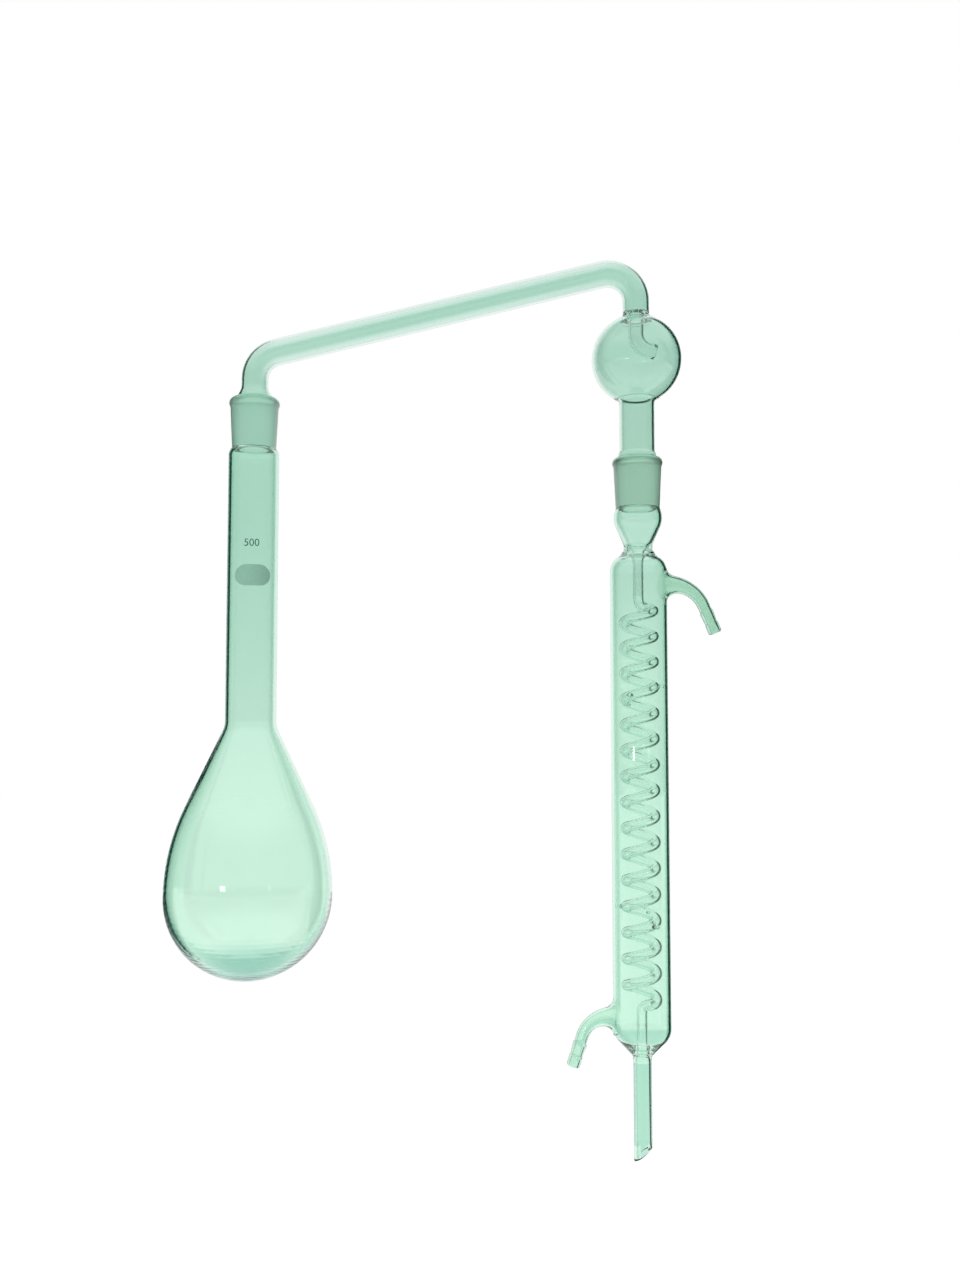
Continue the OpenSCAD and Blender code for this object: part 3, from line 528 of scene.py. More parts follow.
def skin(name, rings, materials, closed=True):
    """Joins each ring to the next by quads. A chain that isn't closed gets a point at both ends."""
    sides = len(rings[0][0])
    points, faces, finishes = [], [], []
    shift = 0
    order = []
    for i, (loop, _) in enumerate(rings):
        if i:
            last = rings[i - 1][0][shift % sides]
            shift = min(range(sides), key=lambda k: (loop[k] - last).length_squared)
        order.append(shift)
        points += loop
    count = len(rings)
    for i in range(count if closed else count - 1):
        j = (i + 1) % count
        for k in range(sides):
            a = i * sides + (k + order[i]) % sides
            b = i * sides + (k + 1 + order[i]) % sides
            c = j * sides + (k + 1 + order[j]) % sides
            d = j * sides + (k + order[j]) % sides
            faces.append((a, b, c, d))
            finishes.append(rings[i][1])
    if not closed:
        for i, (loop, finish) in ((0, rings[0]), (count - 1, rings[-1])):
            tip = len(points)
            points.append(sum(loop, Vector()) / sides)
            for k in range(sides):
                pair = (i * sides + (k + 1) % sides, i * sides + k)
                faces.append((*(pair if i == 0 else pair[::-1]), tip))
                finishes.append(finish)
    mesh = bpy.data.meshes.new(name)
    mesh.from_pydata([p * MM for p in points], [], faces)
    for material in materials:
        mesh.materials.append(material)
    mesh.polygons.foreach_set("material_index", finishes)
    mesh.polygons.foreach_set("use_smooth", [True] * len(mesh.polygons))
    mesh.validate()
    piece = bpy.data.objects.new(name, mesh)
    bpy.context.collection.objects.link(piece)
    bpy.context.view_layer.objects.active = piece
    piece.select_set(True)
    bpy.ops.object.mode_set(mode="EDIT")
    bpy.ops.mesh.select_all(action="SELECT")
    bpy.ops.mesh.normals_make_consistent(inside=False)
    bpy.ops.object.mode_set(mode="OBJECT")
    piece.select_set(False)
    mesh.set_sharp_from_angle(angle=math.radians(SHARP))
    print(name, "faces:", len(mesh.polygons))
    return piece


print("points in a ring:", SIDES)

# %% [markdown]
# ## Ground joints
# Both joints are the same taper, one part in ten. The socket ends in a beaded rim that the maker rolls in
# the flame, and the cone has a ledge where it is drawn down to its tube. The two faces that touch are
# ground, so they get a fine matt finish. The bore behind them has a finish of its own, since light bends
# less in a wet joint. Both profiles are functions, since each is used twice.

# %% Ground joints
JOINT_H = 30
JOINT_R = 12
TAPER = 0.05
GAP = 0.2
BEAD_R = 3.35
BEAD_X = 11.35
BEAD_H = JOINT_H - BEAD_R
BEAD_FOOT = 24.6
SOCKET_BASE_R = 12.85
SOCKET_GROUND_H = (28.3, 20, 10, 1.6)
CONE_GROUND_H = (0.5, 10, 20, 27.6)
TIP_DROP = 0.95
SEATED_H = 32
# SHEEN_BANDED is the finish of the sloping tube, with its painted highlights.
TINTED, GROUND, CLEAR, SHEEN_BANDED, SEATED = 0, 1, 2, 3, 4


def socket_r(h):
    """Radius of the socket's bore at a height above its base."""
    return JOINT_R - (JOINT_H - h) * TAPER


def cone_r(h):
    """Radius of the cone's face at the same height."""
    return socket_r(h) - GAP


def socket_outside(base_z):
    """From the base of the socket up over its rim."""
    wall = [(SOCKET_BASE_R + 0.02, base_z + 1.2), (13.98, base_z + BEAD_FOOT - 0.7)]
    bead = arc(BEAD_X, base_z + BEAD_H, BEAD_R, -34, 74, 9)
    return held(wall) + bead


def socket_bore(base_z):
    """From the rim down the ground bore to its base, with the part that is ground."""
    mouth = [(socket_r(JOINT_H) + 0.03, base_z + 29.5), (socket_r(28.4), base_z + 28.4)]
    ground = [(socket_r(h), base_z + h) for h in SOCKET_GROUND_H]
    foot = [(socket_r(1.5), base_z + 1.5), (socket_r(0.4), base_z + 0.4)]
    return mouth, ground, foot


def cone_outside(base_z, tube_r, flare_h):
    """From the tip of the cone up its ground face, over the ledge and the flare to the tube."""
    ledge_r, ledge_z = cone_r(JOINT_H), base_z + JOINT_H
    tip = rounded([(9.6, base_z - TIP_DROP), (cone_r(-1) - 0.02, base_z - TIP_DROP, 0.4),
                   (cone_r(0.4), base_z + 0.4)])
    ground = [(cone_r(h), base_z + h) for h in CONE_GROUND_H]
    top = rounded([(cone_r(27.7), base_z + 27.7), (ledge_r - 0.05, ledge_z + 0.1, 1.0),
                   (ledge_r - 1.3, ledge_z + 0.5, 0.5), (tube_r + 0.9, ledge_z + flare_h * 0.45, 5),
                   (tube_r, ledge_z + flare_h * 0.8, 5), (tube_r, ledge_z + flare_h)], 12)
    return tip, ground, top


def cone_bore(base_z, bore_r, flare_h):
    """From the tube down through the bore to the tip."""
    ledge_z = base_z + JOINT_H
    return held(rounded([(bore_r, ledge_z + flare_h), (bore_r, ledge_z + flare_h * 0.7, 5),
                         (9.05, base_z + 25.5, 8), (8.7, base_z + 3, 6), (8.65, base_z - 0.7)], 10))


def seated(points, base_z, axis_x=0.0, side=1):
    """Rings of a bore, with a finish of its own for the stretch that sits in the socket."""
    rings = []
    for r, z in points:
        finish = SEATED if z < base_z + SEATED_H else TINTED
        rings += turned([(r, z)], axis_x, side, finish)
    return rings


print("socket bore, mm:", socket_r(0), "to", socket_r(JOINT_H))

# %% [markdown]
# ## Flask
# The bulb is a half ball below, a long flank and a straight cone above, and a hollow curve into the neck.
# Its base is thicker, as it sinks in the flame. The neck ends in a round shoulder under the socket. The
# whole flask is one skin: up the outside from the base, over the rim, and down the inside.

# %% Flask
FLASK_X = -225
NECK_R, NECK_WALL = 14.65, 1.8
BULB_R, FLANK_R, SLOPE, FILLET = 47.75, 120, 25.5, 14
BASE_EXTRA = 1.4
POLE = -88.5
SHOULDER_R = 6
bulb_low, bulb_top = span_z("flask_base")[0], span_z("flask_cone")[1]
flask_socket_z = span_z("flask_socket")[0]
bulb_z = bulb_low + BULB_R
flank_x = BULB_R - FLANK_R
shoulder_x = NECK_R - SHOULDER_R
shoulder_z = flask_socket_z - math.sqrt(SHOULDER_R ** 2 - (SOCKET_BASE_R - shoulder_x) ** 2)


def bulb_line(wall, raise_by):
    """The bulb's outline from near its pole to the neck, drawn in by a wall."""
    round_z = bulb_z + raise_by
    round_r = flank_x + math.sqrt((FLANK_R - wall) ** 2 - raise_by ** 2)
    lift = math.degrees(math.asin(raise_by / (FLANK_R - wall)))
    low = arc(0, round_z, round_r, POLE, 0, 4)
    flank = arc(flank_x, bulb_z, FLANK_R - wall, lift, SLOPE, 2)[1:]
    hollow = arc(NECK_R + FILLET, bulb_top, FILLET + wall, 180 + SLOPE, 180, 3)
    return low + flank + hollow


outside = held(bulb_line(0, 0) + arc(shoulder_x, shoulder_z, SHOULDER_R, 0, 38, 6)
               + [(SOCKET_BASE_R + 0.25, flask_socket_z - 0.35), (SOCKET_BASE_R, flask_socket_z + 0.35)])
mouth, ground, foot = socket_bore(flask_socket_z)
inner_r = SHOULDER_R - NECK_WALL
inside = held([(10.62, flask_socket_z - 0.25)] + arc(shoulder_x, shoulder_z, inner_r, 62, 0, 8)
              + bulb_line(NECK_WALL, BASE_EXTRA)[::-1])
rings = (turned(outside + socket_outside(flask_socket_z) + mouth, FLASK_X)
         + turned(ground + foot, FLASK_X, finish=GROUND) + turned(inside, FLASK_X))
flask = skin("flask_glass", rings, [flask_tint, ground_tint], closed=False)
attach(flask, "flask")
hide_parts("flask_base", "flask_bulb", "flask_cone", "flask_neck", "flask_socket")

# %% [markdown]
# ## Connecting head
# Vapour rises through the cone, runs up the sloping tube, and drops its spray in the splash bulb, where the
# delivery tube turns aside. A curve with a bevel could make the tube, but not the bulb with a tube sealed
# through its top. As rings it is one closed chain: from the cone's tip over the outside to the lower tip,
# up the inside of stem and bulb, down the delivery tube, and back through the bore to the start.

# %% Connecting head
TUBE_R, TUBE_BORE = 7.75, 6.45
BEND_R, RISE = 16.5, 13.7
STEM_R, STEM_BORE = 10.25, 8.85
SPLASH_R, SPLASH_IN = 26.3, 24.8
DELIVERY_R, DELIVERY_BORE = 4.5, 3.3
TURN_R, TURN, TURN_END = 10, 75, 4.5
DELIVERY_LIP = 0.35
INLET_FLARE, OUTLET_FLARE = 8.3, 4
outlet_base_z = span_z("condenser_socket")[0]
splash_top_z = span_z("splash_bulb")[1]
left_z = span_z("inlet_cone")[1]
right_z = span_z("delivery_tube")[1]
splash_z = splash_top_z - 1.05 - math.sqrt(SPLASH_R ** 2 - TUBE_R ** 2)
stem_low_z, stem_top_z = span_z("bulb_stem")


def leaning(x, z, angle, radius, finish=TINTED):
    """A ring on a tube that heads along an angle in the upright plane of the tube."""
    t = math.radians(angle)
    across = Vector((-math.sin(t), 0, math.cos(t)))
    return ring(Vector((x, 0, z)), across, Vector((0, 1, 0)), radius), finish


def bent(x, z, bend_r, start, end, heading, radius, step=6, finish=TINTED):
    """Rings round a bend. heading is added to the angle on the bend to give the tube's way."""
    count = math.ceil(abs(end - start) / step)
    rings = []
    for i in range(count + 1):
        a = start + (end - start) * i / count
        t = math.radians(a)
        place = (x + bend_r * math.cos(t), z + bend_r * math.sin(t))
        rings.append(leaning(*place, a + heading, radius, finish))
    return rings


def vapour_way(radius):
    """Rings from the riser over both bends to the down tube."""
    left = bent(FLASK_X + BEND_R, left_z, BEND_R, 180, 90 + RISE, -90, radius, finish=SHEEN_BANDED)
    right = bent(-BEND_R, right_z, BEND_R, 90 + RISE, 0, -90, radius, finish=SHEEN_BANDED)
    a, b = sum(left[-1][0], Vector()) / SIDES, sum(right[0][0], Vector()) / SIDES
    run = [leaning(*(a.lerp(b, t)).xz, RISE, radius, SHEEN_BANDED) for t in (0.02, 0.25, 0.5, 0.75, 0.98)]
    return left + run + right


def delivery_way(radius):
    """Rings from the seal down the delivery tube and round its turn."""
    bend_z = splash_top_z - 11
    down = [leaning(0, z, -90, radius, CLEAR) for z in (bend_z + 8, bend_z + 5, bend_z + 1)]
    turn = bent(TURN_R, bend_z, TURN_R, 180, 180 + TURN, 90, radius, finish=CLEAR)
    t = math.radians(180 + TURN)
    x, z = TURN_R + TURN_R * math.cos(t), bend_z + TURN_R * math.sin(t)
    way = Vector((math.cos(t + math.pi / 2), math.sin(t + math.pi / 2)))
    end = [leaning(x + way.x * s, z + way.y * s, TURN - 90, radius, CLEAR) for s in (1.2, TURN_END - 0.4)]
    return down + turn + end, (x, z, way)


tip, ground, top = cone_outside(flask_socket_z, TUBE_R, INLET_FLARE)
rings = (turned(tip, FLASK_X, -1, SEATED) + turned(ground, FLASK_X, -1, GROUND)
         + turned(held(top + [(TUBE_R, left_z - HOLD)]), FLASK_X, -1) + vapour_way(TUBE_R))

collar = rounded([(TUBE_R, right_z - HOLD), (TUBE_R, splash_top_z + 1.0),
                  (TUBE_R + 0.35, splash_top_z + 0.2, 0.6), (TUBE_R + 0.1, splash_top_z - 0.9, 0.8),
                  (9.6, splash_top_z - 2.35)], 20)
ball = arc(0, splash_z, SPLASH_R, 68, -64.5, 4)
stem = arc(STEM_R + 3, stem_top_z, 3, 116, 180, 10) + [(STEM_R, stem_low_z + HOLD)]
rings += turned(held(collar) + ball + held(stem))
tip, ground, top = cone_outside(outlet_base_z, STEM_R, OUTLET_FLARE)
rings += turned(top[::-1]) + turned(ground[::-1], finish=GROUND) + turned(tip[::-1], finish=SEATED)

bore = cone_bore(outlet_base_z, STEM_BORE, OUTLET_FLARE)[::-1]
stem_in = arc(STEM_R + 3, stem_top_z, STEM_R + 3 - STEM_BORE, 180, 116, 10)
ball_in = arc(0, splash_z, SPLASH_IN, -61, 74, 4)
rings += seated(held(bore + stem_in) + ball_in, outlet_base_z)
rings += turned([(DELIVERY_R + 0.9, splash_top_z - 2.1), (DELIVERY_R + 0.15, splash_top_z - 2.6)])
down, (end_x, end_z, end_way) = delivery_way(DELIVERY_R)
back, _ = delivery_way(DELIVERY_BORE)
lip = end_way * TURN_END
rim = [leaning(end_x + lip.x, end_z + lip.y, TURN - 90, r, CLEAR)
       for r in (DELIVERY_R - DELIVERY_LIP, DELIVERY_BORE + DELIVERY_LIP)]
rings += down + rim + back[::-1]
widen = rounded([(DELIVERY_BORE, splash_top_z - 1), (DELIVERY_BORE, splash_top_z + 0.6, 1.2),
                 (TUBE_BORE, splash_top_z + 2.2, 1.5), (TUBE_BORE, right_z - HOLD)], 15)
rings += turned(held(widen)) + vapour_way(TUBE_BORE)[::-1]
riser = held([(TUBE_BORE, left_z - HOLD)] + cone_bore(flask_socket_z, TUBE_BORE, INLET_FLARE))
rings += seated(riser, flask_socket_z, FLASK_X, -1)
head = skin("connecting_head_glass", rings, [tube_tint, ground_tint, clear_tint, sheen_slope_tint, bore_tint])
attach(head, "connecting_head")
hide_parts("inlet_cone", "vapour_tube", "splash_bulb", "delivery_tube", "bulb_stem", "outlet_cone")

# %% [markdown]
# ## Condenser
# A funnel leads from the socket through the top of the water jacket into the coil, and a drain leads from
# the coil through its base into the drip tube. The jacket and these ends are one closed chain of rings:
# down the outside to the slanted tip, up the drip and drain bores, round the inside of the jacket, and up
# the feed. The drain is tinted like the drip tube up to the seal, and clear above it.

# %% Condenser
JACKET_R, JACKET_IN = 16.5, 15
ROUND_R, ROUND_IN = 10, 8.5
WAIST_R = 8.2
BULGE_R, BULGE_IN = 14.05, 12.45
DRIP_R, DRIP_BORE, DRIP_LIP = 5.15, 3.6, 0.25
COIL_R, COIL_TUBE, COIL_BORE = 8.55, 3.0, 2.0
SLANT = math.tan(math.radians(37.5))
SEAL_H = 3.0
FUNNEL_RINGS = 6
jacket_low, jacket_top = span_z("jacket")
drip_low = span_z("drip_tube")[0]
coil_low, coil_high = span_z("coil")
bulge_z = jacket_top + 16.6
round_x = JACKET_R - ROUND_R
shoulder_mid = jacket_top - 14.99
base_mid = jacket_low + 15.24


def touch(r, z, centre_z, radius):
    """Angle at which a line from a point below touches a ball on the axis."""
    dx, dz = r, z - centre_z
    return math.degrees(math.atan2(dz, dx) + math.acos(radius / math.hypot(dx, dz)))


def slanted(radius, lift=0.0):
    """A ring on the oblique cut of the drip tube, low on the left."""
    loop = ring(Vector((0, 0, 0)), Vector((1, 0, 0)), Vector((0, 1, 0)), radius)
    return [Vector((p.x, p.y, drip_low + lift + (p.x + DRIP_R) * SLANT)) for p in loop], TINTED


socket_line = socket_outside(outlet_base_z)[::-1]
join = [(SOCKET_BASE_R, outlet_base_z + 0.4), (SOCKET_BASE_R + 0.12, outlet_base_z - 0.5)]
bulge = arc(0, bulge_z, BULGE_R, 20, touch(WAIST_R, jacket_top, bulge_z, BULGE_R), 6)
waist = rounded([bulge[-1], (WAIST_R + 0.1, jacket_top + 0.6, 3), (WAIST_R + 0.2, jacket_top - 2.4, 1.2),
                 (10.57, jacket_top - 5.85)], 12)
shoulder = arc(round_x, shoulder_mid, ROUND_R, 62, 0, 6)
base = arc(round_x, base_mid, ROUND_R, 0, -45, 6)
drip = rounded([base[-1], (DRIP_R + 0.45, jacket_low - 0.1, 2.2), (DRIP_R, jacket_low - 3.5, 4),
                (DRIP_R, drip_low + 12)], 10)
body = spaced(held(shoulder + base))
rings = turned(socket_line + join + bulge + held(waist[1:]) + body + held(drip[1:]))
rings += [slanted(DRIP_R, DRIP_LIP), slanted(DRIP_R - DRIP_LIP)]
rings += [slanted(DRIP_BORE + DRIP_LIP), slanted(DRIP_BORE, DRIP_LIP)]

drain = rounded([(DRIP_BORE, drip_low + 12), (DRIP_BORE, jacket_low - 3, 3), (3.0, jacket_low + 0.8, 3),
                 (2.15, jacket_low + 4.5, 4), (COIL_BORE, jacket_low + 8, 3), (COIL_BORE, coil_low)], 8)
drain_out = rounded([(COIL_TUBE, coil_low), (COIL_TUBE, jacket_low + 8, 3), (3.25, jacket_low + 5, 4),
                     (4.35, jacket_low + 1.9, 1.1), (12.51, base_mid - 6.01)], 8)
wall = arc(round_x, base_mid, ROUND_IN, -45, 0, 6) + arc(round_x, shoulder_mid, ROUND_IN, 0, 78, 6)
feed_out = rounded([wall[-1], (6.75, jacket_top - 6.2, 0.8), (6.72, jacket_top - 1.5, 0.7),
                    (5.4, jacket_top - 3.2, 1.5), (3.7, jacket_top - 6.2, 4),
                    (COIL_TUBE, jacket_top - 9.5, 5), (COIL_TUBE, coil_high)], 8)
feed = rounded([(COIL_BORE, coil_high), (COIL_BORE, jacket_top - 9, 5), (2.7, jacket_top - 5.5, 4),
                (4.6, jacket_top - 1.2, 4), (5.2, jacket_top + 0.6, 2)], 8)
bulge_in = arc(0, bulge_z, BULGE_IN, touch(5.1, jacket_top, bulge_z, BULGE_IN), 24, 6)
mouth, ground, foot = socket_bore(outlet_base_z)
drain = held(drain)
below_seal = sum(z < jacket_low + SEAL_H for _, z in drain)
rings += turned(drain[:below_seal]) + turned(drain[below_seal:], finish=CLEAR)
rings += turned(held(drain_out[:-1]), finish=CLEAR)
rings += turned(spaced(held([drain_out[-2]] + wall))[1:])
rings += turned(held(feed_out[1:] + feed[:-FUNNEL_RINGS]), finish=CLEAR)
rings += turned(feed[-FUNNEL_RINGS:-1] + bulge_in)
rings += turned((ground + foot)[::-1], finish=GROUND) + turned(mouth[::-1])
condenser = skin("condenser_glass", rings, [jacket_tint, ground_tint, clear_tint])
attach(condenser, "condenser")
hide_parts("condenser_socket", "condenser_neck", "jacket", "coil_feed_tube", "coil_drain_tube",
            "drip_tube", "water_outlet_arm", "water_outlet_nozzle", "water_inlet_arm", "water_inlet_nozzle")

# %% [markdown]
# ## Coil
# The coil is one tube wound on a mandrel, in even turns, with its ends bent in to the axis. The Screw
# modifier would wind it but leave the ends open and straight. So its rings follow the helix, two short
# Bezier leads and two straight ends, and the chain comes back through the bore.

# %% Coil
TURNS, LEAD_H, LEAD_ANGLE, LEAD_PULL = 15, 8.6, 30, 7
COIL_SIDES, RINGS_PER_TURN, LEAD_RINGS = 28, 40, 14
END_RINGS = (0.02, 0.6, 4.5)
lead_top = coil_high - 2 * COIL_TUBE
lead_low = coil_low + 2 * COIL_TUBE
helix_top = lead_top - LEAD_H
pitch = (helix_top - LEAD_H - lead_low) / TURNS
first_turn, last_turn = -LEAD_ANGLE / 360, TURNS + LEAD_ANGLE / 360


def helix(turn):
    """Point, way and spoke at a count of turns below the top."""
    a = -2 * math.pi * turn
    spoke = Vector((math.cos(a), math.sin(a), 0))
    once_round = 2 * math.pi * COIL_R
    way = Vector((once_round * math.sin(a), -once_round * math.cos(a), -pitch)).normalized()
    return Vector((0, 0, helix_top - pitch * turn)) + COIL_R * spoke, way, spoke


def lead(a, b, c, d, spoke):
    """Point, way and spoke along a Bezier curve."""
    steps = []
    for i in range(LEAD_RINGS + 1):
        t = i / LEAD_RINGS
        s = 1 - t
        point = s ** 3 * a + 3 * t * s * s * b + 3 * t * t * s * c + t ** 3 * d
        way = (s * s * (b - a) + 2 * t * s * (c - b) + t * t * (d - c)).normalized()
        steps.append((point, way, spoke))
    return steps


start, start_way, start_spoke = helix(first_turn)
stop, stop_way, stop_spoke = helix(last_turn)
down = Vector((0, 0, -1))
top_end, low_end = Vector((0, 0, lead_top)), Vector((0, 0, lead_low))
path = [(Vector((0, 0, coil_high - h)), down, start_spoke) for h in END_RINGS]
path += lead(top_end, top_end + LEAD_PULL * down, start - LEAD_PULL * start_way, start, start_spoke)
count = round((last_turn - first_turn) * RINGS_PER_TURN)
path += [helix(first_turn + (last_turn - first_turn) * i / count) for i in range(1, count)]
path += lead(stop, stop + LEAD_PULL * stop_way, low_end - LEAD_PULL * down, low_end, stop_spoke)
path += [(Vector((0, 0, coil_low + h)), down, stop_spoke) for h in END_RINGS[::-1]]


def tube_ring(step, radius):
    """A ring square to the way at one step of the path."""
    point, way, spoke = step
    across = (spoke - spoke.dot(way) * way).normalized()
    return ring(point, across, way.cross(across), radius, COIL_SIDES), TINTED


rings = [tube_ring(step, COIL_TUBE) for step in path] + [tube_ring(step, COIL_BORE) for step in path[::-1]]
coil = skin("coil_glass", rings, [coil_tint])
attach(coil, "condenser")
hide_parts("coil")
print("coil pitch, mm:", round(pitch, 2))

# %% [markdown]
# ## Coil pips
# Small drops of glass are pulled between the coil and the jacket, three at each end, so that the coil can't
# rattle. A plain rod would look like a pin. Each pip is a short neck of glass that flares at both ends.

# %% Coil pips
PIP_R, PIP_SIDES = 0.85, 20
PIP_START, PIP_END = COIL_R + COIL_TUBE - 0.12, JACKET_IN - 0.05
PIP_FLARE = [(0.0, 1.75), (0.12, 1.45), (0.28, 1.1), (0.5, 0.92), (0.72, 1.0), (0.9, 1.3), (1.0, 1.6)]


def pips(name, first, node):
    """Three pips, a third of a turn apart, from a count of turns on."""
    over = Vector((0, 0, 1))
    for i in range(3):
        point, _, spoke = helix(first + i / 3)
        across = over.cross(spoke)
        rings = []
        for t, wide in PIP_FLARE:
            place = Vector((0, 0, point.z)) + spoke * (PIP_START + (PIP_END - PIP_START) * t)
            rings.append((ring(place, across, over, PIP_R * wide, PIP_SIDES), TINTED))
        pip = skin(f"{name}_{i + 1}", rings, [clear_tint], closed=False)
        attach(pip, "condenser")
    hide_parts(node)


pips("upper_pip", 3, "upper_coil_pips")
pips("lower_pip", TURNS - 3.5, "lower_coil_pips")

# %% [markdown]
# ## Water arms
# Each arm is sealed on over a hole in the jacket. It grows out of it with a trumpet root, bends down, thins
# towards its end and carries a barbed nozzle that holds a hose. A bevelled curve gives a bend but no barbs.
# The rings follow the bend with radii from lists of (distance, radius) pairs. A Boolean then fuses the full
# arm to the jacket, and another cuts the water way, which opens to the jacket as a trumpet too.

# %% Water arms
ARM_SIDES = 64
ARM_BORE, BORE_LIP = 2.35, 0.15
ROOT_X = 19.4
OUTLET_DOWN, OUTLET_BEND_R, OUTLET_BEND = 22.7, 20, 67
INLET_UP, INLET_BEND_R, INLET_BEND = 21.2, 15.6, 72
RING_STEP = 1.6
ROOT = [(-0.75, 10.2), (-0.05, 9.8), (0.15, 9.0), (0.5, 8.2), (1.1, 7.3), (1.9, 6.5), (2.6, 6.0)]
ARM = [(0.0, 5.7), (0.1, 5.2), (0.2, 4.75), (0.35, 4.3), (0.5, 3.95), (0.75, 3.7), (1.0, 3.6)]
HOLE = [(-2.5, 9.4), (-0.25, 9.2), (-0.02, 8.8), (0.1, 8.2), (0.35, 7.4), (0.8, 6.6), (1.4, 5.9),
        (2.2, 5.3), (3.0, 4.8), (3.7, 4.5)]
WAY = [(0.0, 4.2), (0.1, 3.75), (0.2, 3.3), (0.35, 2.9), (0.5, 2.6), (0.75, 2.4), (1.0, 2.35)]
NOZZLE = [(1.2, 3.55), (2.9, 3.5), (3.5, 3.55), (3.8, 3.75), (4.1, 4.0), (4.6, 4.05), (5.2, 4.02),
          (10.6, 3.5), (10.95, 3.46), (11.2, 3.6), (11.45, 3.88), (11.8, 3.9), (16.2, 3.9), (16.8, 3.75),
          (17.2, 3.4), (17.4, 2.95)]
NOZZLE_WAY = [(4, ARM_BORE), (12, ARM_BORE), (16.9, ARM_BORE), (17.3, ARM_BORE + BORE_LIP),
              (19, ARM_BORE + BORE_LIP)]


def between(pairs, x):
    """A value between the pairs of a list."""
    for (x0, y0), (x1, y1) in zip(pairs, pairs[1:]):
        if x <= x1:
            return y0 + (y1 - y0) * (x - x0) / (x1 - x0)
    return pairs[-1][1]


def carve(piece, tool, operation):
    """Fuses a closed skin to a piece, or cuts it out."""
    modifier = piece.modifiers.new("carve", "BOOLEAN")
    modifier.operation = operation
    modifier.solver = "EXACT"
    modifier.material_mode = "TRANSFER"
    modifier.object = tool
    bpy.context.view_layer.objects.active = piece
    bpy.ops.object.modifier_apply(modifier="carve")
    bpy.data.objects.remove(tool)
    piece.data.set_sharp_from_angle(angle=math.radians(SHARP))


def water_arm(name, z, side, bend_r, bend):
    """Fuses a full arm to the jacket at a height, then cuts its water way."""
    over = Vector((0, 1, 0))
    length = bend_r * math.radians(bend)

    def at(distance, radius):
        """A ring at a distance along the arm's middle line, from where the bend starts."""
        turn = min(max(distance / bend_r, 0), math.radians(bend))
        past = distance - turn * bend_r
        x = ROOT_X + bend_r * math.sin(turn) + past * math.cos(turn)
        low = bend_r * (math.cos(turn) - 1) - past * math.sin(turn)
        across = Vector((math.sin(turn) * side, 0, math.cos(turn)))
        return ring(Vector((x * side, 0, z + low)), across, over, radius, ARM_SIDES), TINTED

    def saddle(radius, height, wall_r):
        """A ring on the round jacket, a height above its wall."""
        loop = []
        for p in ring(Vector((0, 0, z)), Vector((0, 0, 1)), over, radius, ARM_SIDES):
            loop.append(Vector((side * (math.sqrt(wall_r ** 2 - p.y ** 2) + height), p.y, p.z)))
        return loop, TINTED

    count = math.ceil(length / RING_STEP)
    rings = [saddle(r, h, JACKET_R) for h, r in ROOT]
    rings += [at(length * i / count, between(ARM, i / count)) for i in range(count + 1)]
    rings += [at(length + s, r) for s, r in NOZZLE]
    carve(condenser, skin(name, rings, [arm_tint], closed=False), "UNION")
    way = [saddle(r, h, JACKET_IN) for h, r in HOLE]
    way += [at(length * i / count, between(WAY, i / count)) for i in range(count + 1)]
    way += [at(length + s, r) for s, r in NOZZLE_WAY]
    carve(condenser, skin(name + "_way", way, [arm_tint], closed=False), "DIFFERENCE")


water_arm("water_outlet", jacket_top - OUTLET_DOWN, 1, OUTLET_BEND_R, OUTLET_BEND)
water_arm("water_inlet", jacket_low + INLET_UP, -1, INLET_BEND_R, INLET_BEND)
print("condenser faces with both arms:", len(condenser.data.polygons))

# %% [markdown]
# ## Enamel and joint films
# The writing patch is a matt enamel fired on the neck, grainy enough to take a pencil. The film in a ground
# joint is a thin wet layer that is nearly clear and hardly bends light. These solids already have the right
# shape, so they stay and only get a finish: the enamel a fine grain in colour and bump, the films a very
# smooth glass of a low index.

# %% Enamel and films
ENAMEL_SCALE, ENAMEL_GRAIN, ENAMEL_DEPTH = 1800, 0.3, 0.0001
FILM_TINT, FILM_IOR = (0.99, 1.0, 0.995), 1.02


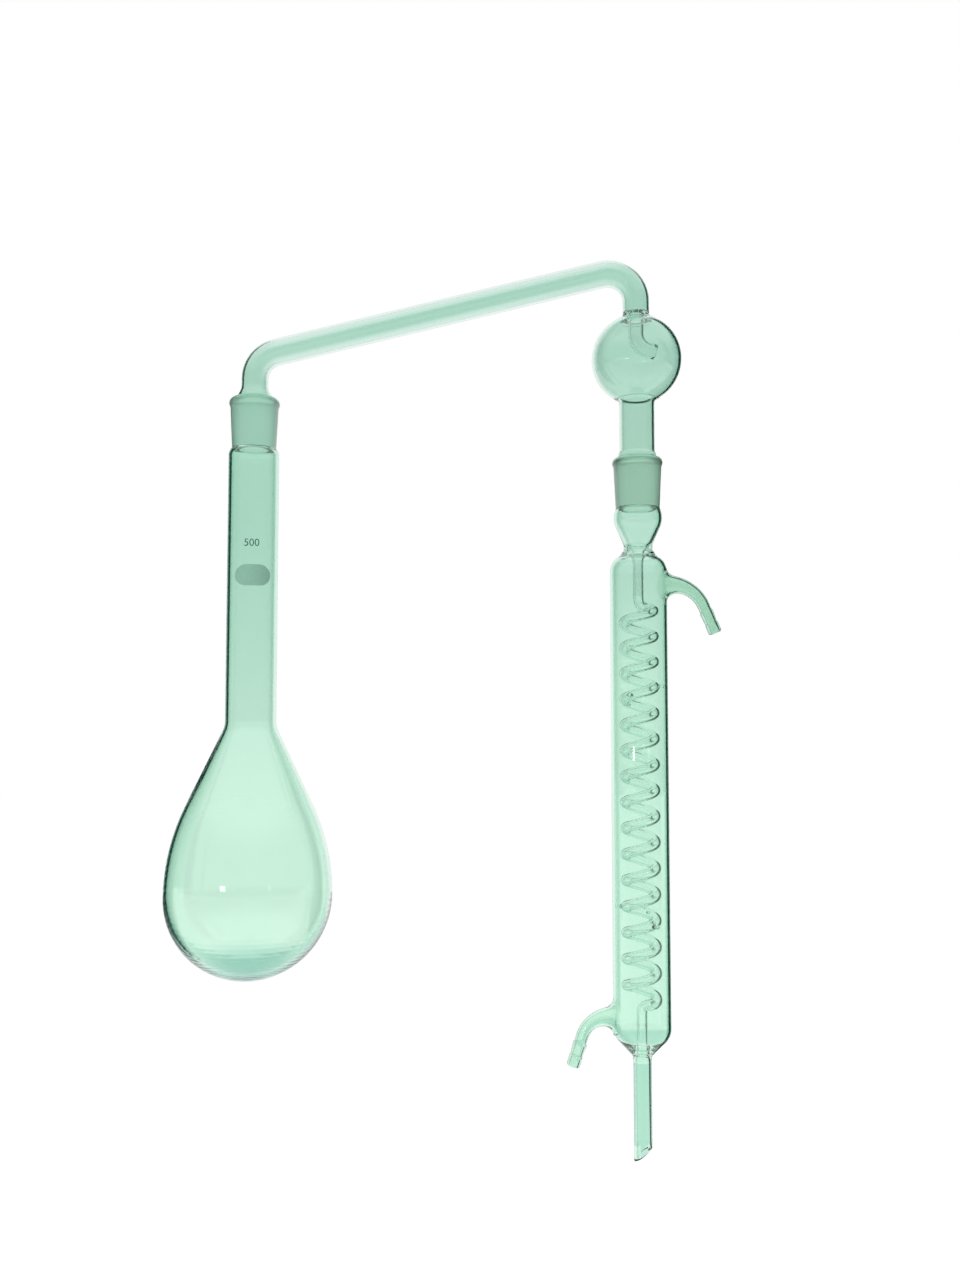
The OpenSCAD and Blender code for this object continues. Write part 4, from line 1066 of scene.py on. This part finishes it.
def enamel_finish(name, dark, light):
    """Matt enamel whose grain goes from a dark to a light shade."""
    material = bpy.data.materials.new(name)
    material.use_nodes = True
    tree = material.node_tree
    shader = tree.nodes["Principled BSDF"]
    shader.inputs["Roughness"].default_value = 0.75
    place, _ = place_of(tree)
    grain = grained(tree, shader, place, ENAMEL_SCALE, ENAMEL_GRAIN, ENAMEL_DEPTH)
    speck = ramp(tree, grain, *NOISE_RANGE)
    link(tree, mix_colour(tree, speck, (*dark, 1), (*light, 1)), shader.inputs["Base Color"])
    return material


enamel = enamel_finish("patch_enamel", (0.235, 0.445, 0.35), (0.285, 0.515, 0.41))
film_tint = glass("film_glass", FILM_TINT, FILM_TINT, 0, 240, roughness=0.05, grain=0.03, ior=FILM_IOR)
finishes = {"writing_patch": enamel, "flask_joint_film": film_tint, "condenser_joint_film": film_tint}
for name, finish in finishes.items():
    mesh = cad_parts[name].data
    mesh.materials.clear()
    mesh.materials.append(finish)
print("finished solids:", list(finishes))

# %% [markdown]
# ## Capacity number
# The neck carries the flask's capacity as a plain printed number. A text object lies flat, so it is turned
# into a mesh, and each of its points is wrapped round the neck. The print is a thin layer of dark enamel,
# so it lies a hair above the glass and turns with the flask.

# %% Capacity number
NUMBER_Z, NUMBER_W, NUMBER_TURN = 149, 8.6, 8
PRINT_R = NECK_R + 0.06
letters = bpy.data.curves.new("capacity_number", "FONT")
letters.body = "500"
letters.align_x, letters.align_y = "CENTER", "CENTER"
flat = bpy.data.objects.new("flat_number", letters)
bpy.context.collection.objects.link(flat)
printed = bpy.data.meshes.new_from_object(flat.evaluated_get(bpy.context.evaluated_depsgraph_get()))
bpy.data.objects.remove(flat)
reach = [p.co.x for p in printed.vertices]
scale = NUMBER_W / (max(reach) - min(reach))
for p in printed.vertices:
    t = math.radians(NUMBER_TURN) + p.co.x * scale / PRINT_R
    p.co = Vector((FLASK_X + PRINT_R * math.sin(t), -PRINT_R * math.cos(t), NUMBER_Z + p.co.y * scale)) * MM
number = bpy.data.objects.new("capacity_number", printed)
bpy.context.collection.objects.link(number)
printed.materials.clear()
printed.materials.append(enamel_finish("print_enamel", (0.035, 0.11, 0.075), (0.055, 0.15, 0.105)))
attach(number, "flask")
print("number scale, mm:", round(scale, 2))
